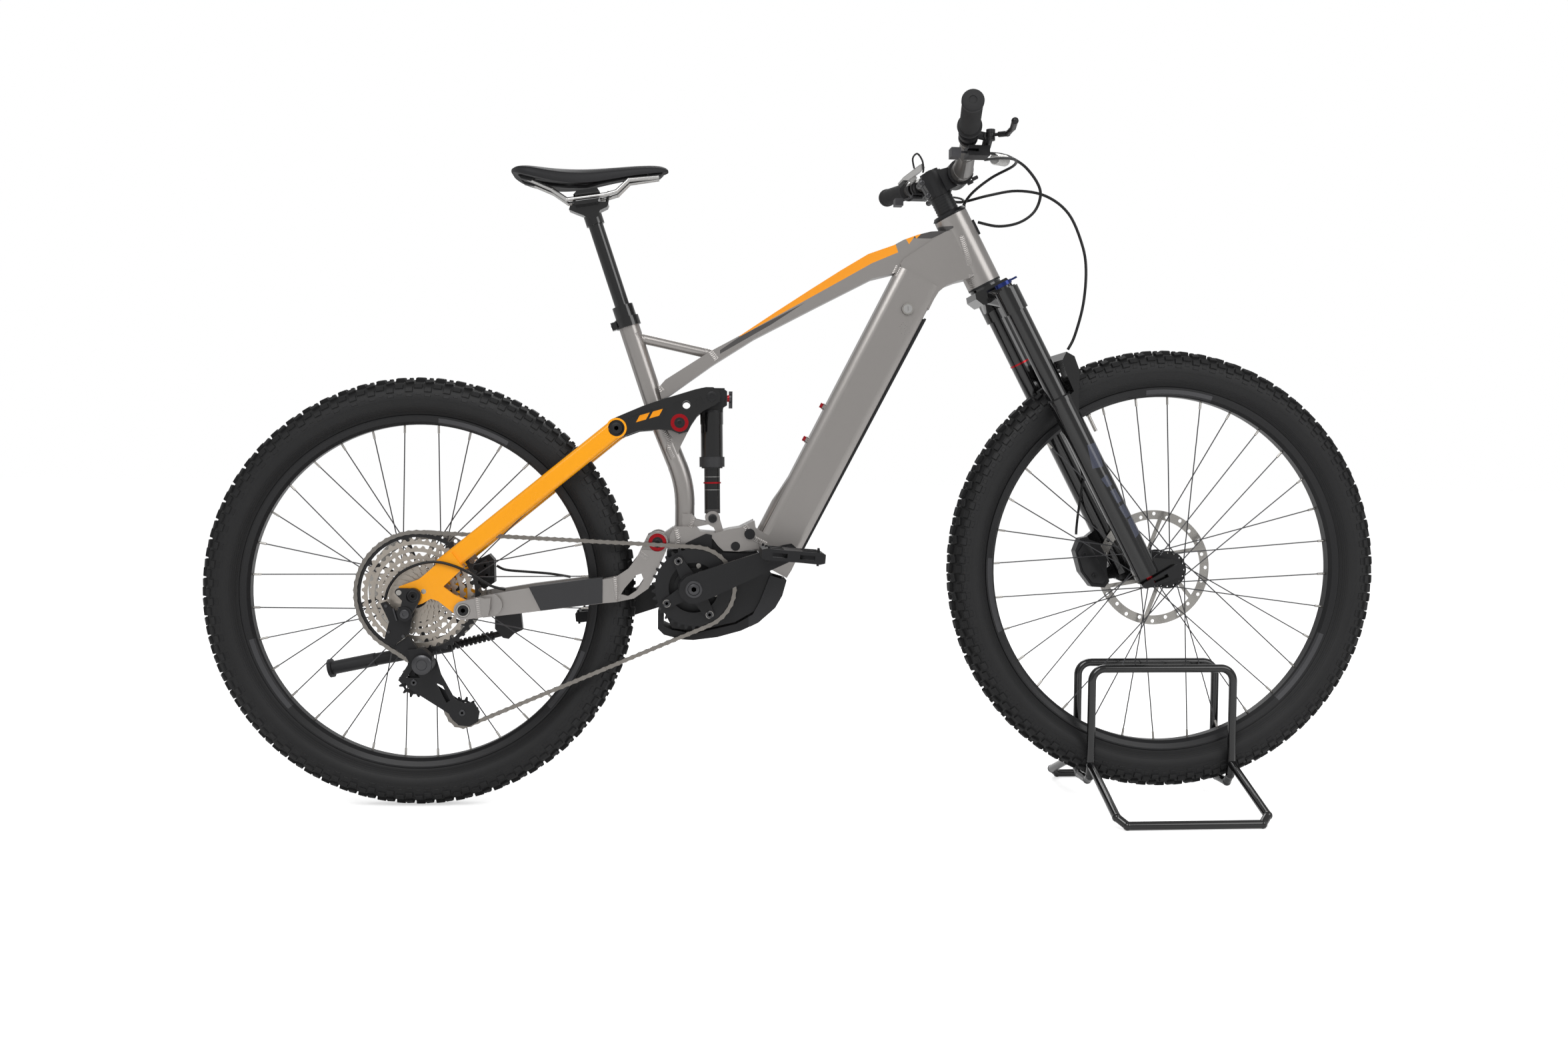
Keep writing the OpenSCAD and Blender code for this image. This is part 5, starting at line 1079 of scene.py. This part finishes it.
@dataclass
class Grips:
    """Ribbed lock-on grips with flanged inner ends."""

    start: Point = (410.0, 262.0, 1105.0)
    toward: Point = (-23.0, 128.0, 9.0)
    outer: float = 388.0
    d: float = 32.0
    rib: float = 3.5

    def profile(self, length: float) -> list[Spot]:
        """Half section of one grip: radius and distance along it."""
        r, at = self.d / 2, 8.6
        rows: list[Spot] = [(0.0, 0.2), (11.5, 0.2), (r + 3.2, 0.2), (r + 3.5, 1.2), (r + 3.5, 4.2), (r + 2.6, 5.0),
                            (r - 1.6, 5.6), (r - 1.6, 8.0)]
        while at < length - 12:
            rows += [(r - 0.9, at), (r - 0.1, at + 0.5), (r - 0.1, at + 2.2), (r - 0.9, at + 2.7)]
            at += self.rib
        return rows + [(r - 1.2, length - 10), (r + 0.6, length - 9), (r + 1, length - 7), (r + 1, length - 1.5),
                       (r - 0.4, length + 1), (r - 3, length + 2.2), (6.2, length + 2.4), (5.6, length + 1.2),
                       (0.0, length + 1.0)]

    def build(self, dress: Material) -> None:
        """Makes both grips in place of the CAD ones."""
        shape = Shape()
        a = Vector(self.start)
        b = a + Vector(self.toward) * ((self.outer - a.y) / self.toward[1])
        shape.lathe(self.profile((b - a).length), a, b)
        shape.mirror()
        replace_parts(shape.piece("ribbed_grips", "steering", "grip_rubber", dress, True, 28.0), "grips")


# --- small fittings
Bolt = tuple[Point, Point, float, float, float]


class Fittings:
    """Bolts, inlays, seals and other small pieces on every body."""

    def __init__(self) -> None:
        """Makes the materials that they share."""
        self.black, self.steel, self.orange, self.plastic, self.silver, self.screen = (
            material(name + "_finish", finish) for name, finish in (
                ("bolt", SATIN_BLACK), ("crank_bolt", DARK_STEEL), ("inlay", ORANGE_MATT), ("seal", PLASTIC),
                ("wrap", RAW_ALLOY), ("screen", SCREEN)))

    def bolts(self, name: str, body: str, rows: Iterable[Bolt], steel: bool = False, steered: bool = False,
              shape: Optional[Shape] = None) -> None:
        """Piece of socket bolts.

        Args:
            name: Its name.
            body: Body that it rides on.
            rows: Seat, direction, diameter, height and key of each bolt.
            steel: Whether they are dark steel instead of black.
            steered: Whether they turn with the front end.
            shape: What the bolts are added to.
        """
        shape = shape or Shape()
        for row in rows:
            shape.bolt(*row)
        slot, dress = ("dark_steel", self.steel) if steel else ("black_metal", self.black)
        shape.piece(name, body, slot, dress, steered)

    def pivots(self) -> None:
        """Socket bolts in the suspension pivots."""
        self.bolts("pivot_bolts", "frame", [
            *(((x, side * y, z), (0, side, 0), 11.0, 2.6, 6.4)
              for x, z, y in ((*MAIN_PIVOT, 44.6), (*ROCKER_PIVOT, 47.6)) for side in SIDES),
            ((SHOCK_LOW[0], -27.2, SHOCK_LOW[1]), (0, -1, 0), 13.0, 2.0, 6.0)])
        self.bolts("link_bolts", "rocker", [
            ((x, side * y, z), (0, side, 0), d, 2.0, 8.0)
            for x, z, y, d in ((*STAY_PIVOT, 59.6, 18.0), (*SHOCK_TOP, 46.6, 16.0)) for side in SIDES])
        self.bolts("stay_bolts", "swingarm", [
            ((HORST[0], side * 86.6, HORST[1]), (0, side, 0), 17.0, 2.4, 8.0) for side in SIDES])

    def inlays(self) -> None:
        """Plain orange bars in the recess of each rocker plate."""
        shape, wide, slope = Shape(), 17, 0.30
        for x in (-99, -77):
            z = 652.5 + (x + 99) * slope
            shape.slab([(x, z), (x + wide, z + wide * slope), (x + wide + 6.4, z + wide * slope + 12),
                        (x + 6.4, z + 12)], -41.55, -40.6, 0.25, 1)
        shape.mirror()
        shape.piece("rocker_inlays", "rocker", "orange_paint", self.orange)

    def calipers(self) -> None:
        """Ribbed cover and bolts on the outer face of each brake caliper."""
        around = ((-34, 544), (-56, 556), (-62, 590), (-57, 616), (-40, 627), (-31, 620), (-29, 585), (-30, 552))
        for end, body, corners, y0, y1, bolts in (
                ("front", "fork_lower", [fork(*at)[::2] for at in around], 26.6, 30.2,
                 [fork(-47, 564)[::2], fork(-48, 606)[::2]]),
                ("rear", "seatstay", [(-364, 370), (-350, 380), (-351, 408), (-358, 416), (-374, 407), (-379, 396),
                                      (-379, 384)], 43.2, 46.2, [(-357, 388), (-360, 404)])):
            shape = Shape()
            shape.slab(corners, y0, y1, 1.6)
            rows = [((x, y0 + 0.4, z), (0, -1, 0), 9.0, 3.2, 5.0) for x, z in bolts]
            self.bolts(end + "_caliper_cover", body, rows, steered=end == "front", shape=shape)

    def rings(self) -> None:
        """Wiper seals on the fork legs, and the spiral wrap round the cables ahead of the stem."""
        shape = Shape()
        for side in SIDES:
            shape.lathe([(17.8, 0), (21.2, 0), (21.2, 2.2), (19.6, 4.2), (17.8, 4.2), (17.8, 0)],
                        fork(12, 294, side * 65), fork(12, 280, side * 65))
        shape.piece("fork_seals", "fork_lower", "black_plastic", self.plastic, True)
        shape = Shape()
        a, b = Vector((487, -121, 1088)), Vector((512, -82, 1093))
        for at in (a.lerp(b, k / 13) for k in range(13)):
            shape.lathe([(8.0, 0), (9.2, 0.4), (9.4, 1.2), (9.2, 2.0), (8.0, 2.4), (8.0, 0)], at, at + (b - a), 20)
        shape.piece("spiral_wrap", "frame", "raw_alloy", self.silver)

    def reflectors(self) -> None:
        """Orange reflectors in the pedal ends."""
        slope = tan(radians(4.5))
        for sign, name in ((1, "pedal_right"), (-1, "pedal_left")):
            lo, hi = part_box(name)
            shape = Shape()
            for end in SIDES:
                x = (lo.x + hi.x) * 500 + X_MID + end * 47.6
                z = (lo.z + hi.z) * 500 - end * sign * slope * 47.6
                shape.slab([(x - 2.4, z - 5), (x + 2.4, z - 5), (x + 2.4, z + 5), (x - 2.4, z + 5)],
                           *sorted((-sign * 128, -sign * 176)), 0.8)
            shape.piece(name + "_reflectors", name, "orange_paint", self.orange)

    def crank(self) -> None:
        """Crank bolts, axle caps and chainring bolts."""
        shape, rows, turn = Shape(), [], radians(21.6)
        for side in SIDES:
            shape.lathe([(0, 0), (11, 0), (14.2, 0), (14.2, 1.6), (13.0, 2.6), (10.4, 2.6), (9.6, 0.6), (0, 0.6)],
                        (0, side * 89.8, BB[1]), (0, side * 91, BB[1]))
            rows += [((0, side * 89.9, BB[1]), (0, side, 0), 17.0, 2.4, 9.0),
                     ((side * -170 * cos(turn), side * 89.0, BB[1] - side * 170 * sin(turn)), (0, side, 0), 9.6, 1.6,
                      6.0)]
        rows += [((52 * cos(a), -65.8, BB[1] + 52 * sin(a)), (0, -1, 0), 11.4, 1.6, 5.6)
                 for a in map(radians, (30, 120, 210, 301))]
        self.bolts("crank_bolts", "crank", rows, True, shape=shape)

    def gears(self) -> None:
        """Bolts, caps and pins of the derailleur and its cage."""
        shape = Shape()
        shape.lathe([(0, 0), (16.4, 0), (16.4, 1.4), (14.2, 3.0), (9.0, 3.4), (8.2, 2.4), (0, 2.4)],
                    (-445.6, -89.8, 249.5), (-445.6, -91, 249.5))
        for x, z, y in ((-501, 303, -82), (-477, 296, -82), (-505, 346, -82), (-458, 252, -84)):
            shape.rod((x, y + 1, z), (x, y - 1.4, z), 6.4, 5.4, 20)
        for x, z in ((-487, 322), (-478, 324)):
            shape.rod((x, -82.6, z), (x - 6, -82.6, z + 20), 4.2, 4.2, 14)
        self.bolts("derailleur_bolts", "derailleur", [((-472, -98.2, 334), (0, -1, 0), 15.0, 2.2, 7.0)], True,
                   shape=shape)
        self.bolts("cage_bolts", "derailleur_cage", [
            ((x, -46.9, z), (0, -1, 0), 10.4, 1.8, 4.6) for x, z in (GUIDE, TENSION)], True)

    def cockpit(self) -> None:
        """Stem bolts and the dark screen of the display."""
        self.bolts("stem_bolts", "steering", [
            *((fork(-22, s, side * 16.8), (0, side, 0), 8.0, 1.6, 4.2) for s in (-114, -138) for side in SIDES),
            *((fork(66.8, s, y), tuple(AHEAD), 6.0, 1.2, 3.6) for y in (-19, 19) for s in (-144.8, -104.8)),
            (fork(0, -150.6), tuple(-DOWN), 12.0, 2.4, 6.0)], True, True)
        shape = Shape()
        bmesh.ops.create_cube(shape.bm, size=1.0, matrix=Matrix.Translation((402, 196, 1117))
                              @ Matrix.Rotation(radians(-38), 4, "Y") @ Matrix.Translation((1, -1, 7.3))
                              @ Matrix.Diagonal((39, 43, 1.0, 1)))
        shape.piece("display_screen", "steering", "black_plastic", self.screen, True)

    def plugs(self) -> None:
        """Round plugs in the motor cradle."""
        shape = Shape()
        for side in SIDES:
            shape.lathe([(0, 0), (7.6, 0), (7.6, 0.8), (6.6, 1.6), (0, 1.6)], (94, side * 36.8, 466),
                        (94, side * 38, 466), 32)
        shape.piece("cradle_plugs", "frame", "black_plastic", self.plastic)

    def build(self) -> None:
        """Makes all the small fittings."""
        for make in (self.pivots, self.inlays, self.rings, self.reflectors, self.crank, self.gears, self.cockpit,
                     self.plugs, self.calipers):
            make()


# --- dressing
def spot(at: Spot, outer: float, beyond: float, finish: Finish, inner: float = -1.0) -> Mark:
    """Mark of a disc or ring that lies beyond a distance from the middle plane."""
    return Mark(both_of(disc(at, outer, inner), outside(beyond)), finish)


def rim_marks(hub: Spot, bead: float, turn: float) -> list[Mark]:
    """Satin bands of a rim, turned by some degrees, and its bright inner edge."""
    bands = ((60, 84), (196, 222), (318, 340))
    return [*(Mark(sector(hub, bead - 8.5, bead + 1, low + turn, high + turn), DARK_STEEL) for low, high in bands),
            Mark(disc(hub, bead - 12.5), STEEL)]


def frame_marks() -> list[Mark]:
    """Orange bands on the top tube, and darker grey bands on it that are painted shade."""
    # The darker grey bands are shade painted where the top tube's side faces reflect less light.
    silver = [
        both_of(outline((41.6, 763.8), (92.7, 797.8), (195.1, 860.7), (266.9, 902.9), (77.3, 801.7), (41.5, 776.6)),
                outside(14)),
        outline((330, 944), (336.1, 940), (371, 957), (402, 971), (436, 971), (436, 992), (398, 992),
                (330, 970))]
    orange = [outline(*corners) for corners in (
        ((75.2, 799.5), (144, 838.5), (246.3, 897.5), (300, 928), (300, 975), (60, 822)),
        ((296, 926.5), (343.0, 946.7), (334.0, 975), (280, 975), (280, 945)),
        ((361.5, 960.8), (370.6, 974), (370.6, 990), (352, 990), (355.7, 969.9)),
        ((373.8, 970.3), (382.0, 978.6), (382.0, 990), (372, 990), (370.2, 976.4)))]
    return [Mark(where, DARK_SILVER_AND_SIDE_SHADE) for where in silver] + [Mark(where, ORANGE_MATT) for where in orange]


def looks() -> dict[str, tuple[object, ...]]:
    """Finish, marks, relief and its depth for each visible CAD node."""
    shock = (SHOCK_LOW, SHOCK_TOP)
    kickstand = ((-322, 285), (-430, 257))
    leg = (HEAD, (HEAD[0] + DOWN.x * 100, HEAD[1] + DOWN.z * 100))
    blocks = (((668.5, 582.1), (687.2, 586.6), (677.7, 627.5), (658.1, 622.1)),
              ((683, 565), (694, 551), (703, 556), (693, 573)), ((699, 545), (712, 524), (721, 529), (708, 550)),
              ((714, 518), (727, 499), (737, 504), (724, 524)), ((730, 497), (744, 466), (753, 474), (739, 502)))
    plain = ((SATIN_BLACK, "headset_cups rear_caliper rocker_bolts crank_arms rear_hub front_hub derailleur_cage stem "
                           "brake_lever_right brake_lever_left front_caliper front_axle"),
             (GLOSS_BLACK, "seat_clamp seatpost_outer rocker_link seatpost_inner wheel_stand"),
             (PLASTIC, "battery charge_flap"), (GREY_PLASTIC, "shift_lever dropper_lever"), (BAR_ALLOY, "handlebar"),
             (BLUE_ALLOY, "compression_knob"), (RED_ALLOY, "rebound_knob"), (RAW_ALLOY, "saddle_rails"))
    table: dict[str, tuple[object, ...]] = {
        name: (finish,) for finish, names in plain for name in names.split()}
    for end, hub, bead, turn in (("rear", REAR_AXLE, REAR_BEAD, 0), ("front", FRONT_AXLE, FRONT_BEAD, 116.6)):
        table |= {end + "_rim": (SATIN_BLACK, rim_marks(hub, bead, turn)),
                  end + "_spokes": (DARK_STEEL, [Mark(disc(hub, bead, bead - 24.5), STEEL)]),
                  end + "_rotor": (STEEL, [Mark(disc(hub, 28), DARK_STEEL)])}
    for name, hub in (("guide_pulley", GUIDE), ("tension_pulley", TENSION)):
        table[name] = (PLASTIC, [Mark(disc(hub, 6), STEEL)])
    return table | {
        "frame_main": (SILVER_PAINT, frame_marks(), welds(
            ((449.5, 975.6), (465.7, 925.8)), ((468.0, 912), (474.5, 882)), ((336.2, 907.7), (343.8, 924.2)),
            ((-52.1, 638.7), (-41.2, 624.6)), ((-41.2, 626.6), (-44.5, 606)), ((-44.5, 608.4), (-36.1, 592)),
            ((-30.3, 474.0), (-26.3, 457.2)), ((-26.3, 457.2), (-29.6, 442.5)), ((0.5, 498.6), (-6.8, 476.8)),
            ((80.5, 485.9), (101.4, 458.4)), ((101.4, 458.4), (123.2, 447.7)), ((-64.8, 716.6), (-55.0, 705.4)),
            ((-98.0, 806.0), (-84.0, 786.0)), ((20, 781), (36, 761))), 0.9),
        "motor_unit": (SATIN_BLACK, [spot((8, 412), 4.6, 37.5, STEEL), spot((38, 364), 5, 36.5, STEEL)]),
        "motor_cover": (PLASTIC, [Mark(region(93, 170, 300, 400), DARK_GREY)]),
        "frame_hardware": (SATIN_BLACK, [spot(MAIN_PIVOT, 15.3, 42, RED_ALLOY, 8.9),
                                         spot(ROCKER_PIVOT, 15.3, 45, RED_ALLOY, 8.9),
                                         Mark(region(150, 240, 600, 700), RED_ALLOY),
                                         Mark(disc(SHOCK_LOW, 8), DARK_STEEL)]),
        "battery_lock": (RAW_ALLOY, [Mark(both_of(region(358.2, 360.2, 846.3, 854.3), outside(31)), GLOSS_BLACK),
                                     spot((359.2, 850.3), 10.2, 30, STEEL, 7.4)]),
        "chainstays": (SILVER_PAINT, [], welds(((-131.9, 396), (-126.5, 356)), ((-356, 362), (-352, 326)),
                                               ((-93, 434), (-78, 424))), 0.8),
        "chainstay_fittings": (DARK_GREY, [Mark(region(-350, -285, 268, 330), SATIN_BLACK),
                                           spot(HORST, 12, 67, SATIN_BLACK), spot(HORST, 11.4, 87, STEEL, 8.9)]),
        "kickstand_leg": (SATIN_BLACK, [Mark(stretch(*kickstand, 244, 400), DARK_GREY),
                                        Mark(stretch(*kickstand, 104, 245), PLASTIC)]),
        "seatstays": (ORANGE_PAINT, [spot((-444, 370), 4.2, 80, STEEL)]),
        "dropout_hardware": (SATIN_BLACK, [spot((-482, 369), 4.4, 92, STEEL),
                                           spot(REAR_AXLE, 9.4, 83, DARK_STEEL, 7.6)]),
        "shock_shaft": (SHAFT_BLACK, [Mark(stretch(*shock, low, high), finish) for low, high, finish in (
            (58.8, 61.8, RED_ALLOY), (-20, 15, DARK_SILVER_AND_SIDE_SHADE), (70, 70.8, RAW_ALLOY), (48, 48.8, RAW_ALLOY))]),
        "shock_body": (GLOSS_BLACK, [Mark(stretch(*shock, 86, 105), DARK_GREY),
                                     Mark(stretch(*shock, 180, 240), SATIN_BLACK)]),
        "shock_lever": (DARK_STEEL, [Mark(region(54, 58.2, 689, 703), RED_ALLOY)]),
        "chainring": (SATIN_BLACK, [Mark(both_of(disc(BB, 57.5, 46.5), below("y", -63.8)), STEEL)]),
        "pedal_right": (PLASTIC, [Mark(above("y", -98.2), STEEL)]),
        "pedal_left": (PLASTIC, [Mark(below("y", 98.2), STEEL)]),
        "derailleur_body": (PLASTIC, [spot((-472, 334), 6, 98, STEEL)]),
        "fork_uppers": (GLOSS_BLACK, [Mark(both_of(stretch(*leg, 213.6, 216.8), above("y", 30)), RED_ALLOY)]),
        "control_bodies": (PLASTIC, [Mark(both_of(above("y", 165), above("z", 1103), below("x", 440)), RAW_ALLOY)]),
        "fork_lowers": (GLOSS_BLACK, [Mark(both_of(outline(*corners), below("y", -60)), STONE_BLUE)
                                      for corners in blocks]),
    }


def dress_all(nodes: dict[str, Object]) -> None:
    """Gives every CAD node its material, and the replaced ones a spare.

    Args:
        nodes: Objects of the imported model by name.
    """
    made = {name: material(name + "_finish", *look) for name, look in looks().items()}
    spare = material("hidden_finish", PLASTIC)
    for name, thing in nodes.items():
        dress, slots = made.get(name, spare), thing.data.materials
        if name in made and not slots:
            slots.append(dress)
        for i in range(len(slots)):
            slots[i] = dress


def main() -> None:
    """Builds the scene in order."""
    logging.basicConfig(level=logging.INFO, format="%(message)s")
    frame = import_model()
    Studio().build()
    hose = material("hose_finish", HOSE)
    cords = [line.build(hose) for line in LINES]
    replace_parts(cords[0], "hoses")
    Tyre("rear", REAR_AXLE, outer=362.7, width=71, bead=REAR_BEAD, pitches=68).build()
    Tyre("front", FRONT_AXLE, outer=380.5, width=66, bead=FRONT_BEAD, pitches=72, steered=True).build()
    Chain().build(material("chain_finish", CHAIN_STEEL))
    Cassette().build(material("sprocket_finish", WARM_STEEL, [
        Mark(both_of(disc(REAR_AXLE, 112), above("y", -39.4)), SATIN_BLACK), Mark(disc(REAR_AXLE, 22), SATIN_BLACK)]))
    saddle = Saddle()
    lo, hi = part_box("saddle")
    saddle.cover(material("cover_finish", COVER), (hi.y - lo.y) * 500)
    saddle.shell(material("shell_finish", PLASTIC))
    Grips().build(material("grip_finish", GRIP))
    Fittings().build()
    dress_all(frame["nodes"])


if __name__ == "__main__":
    main()
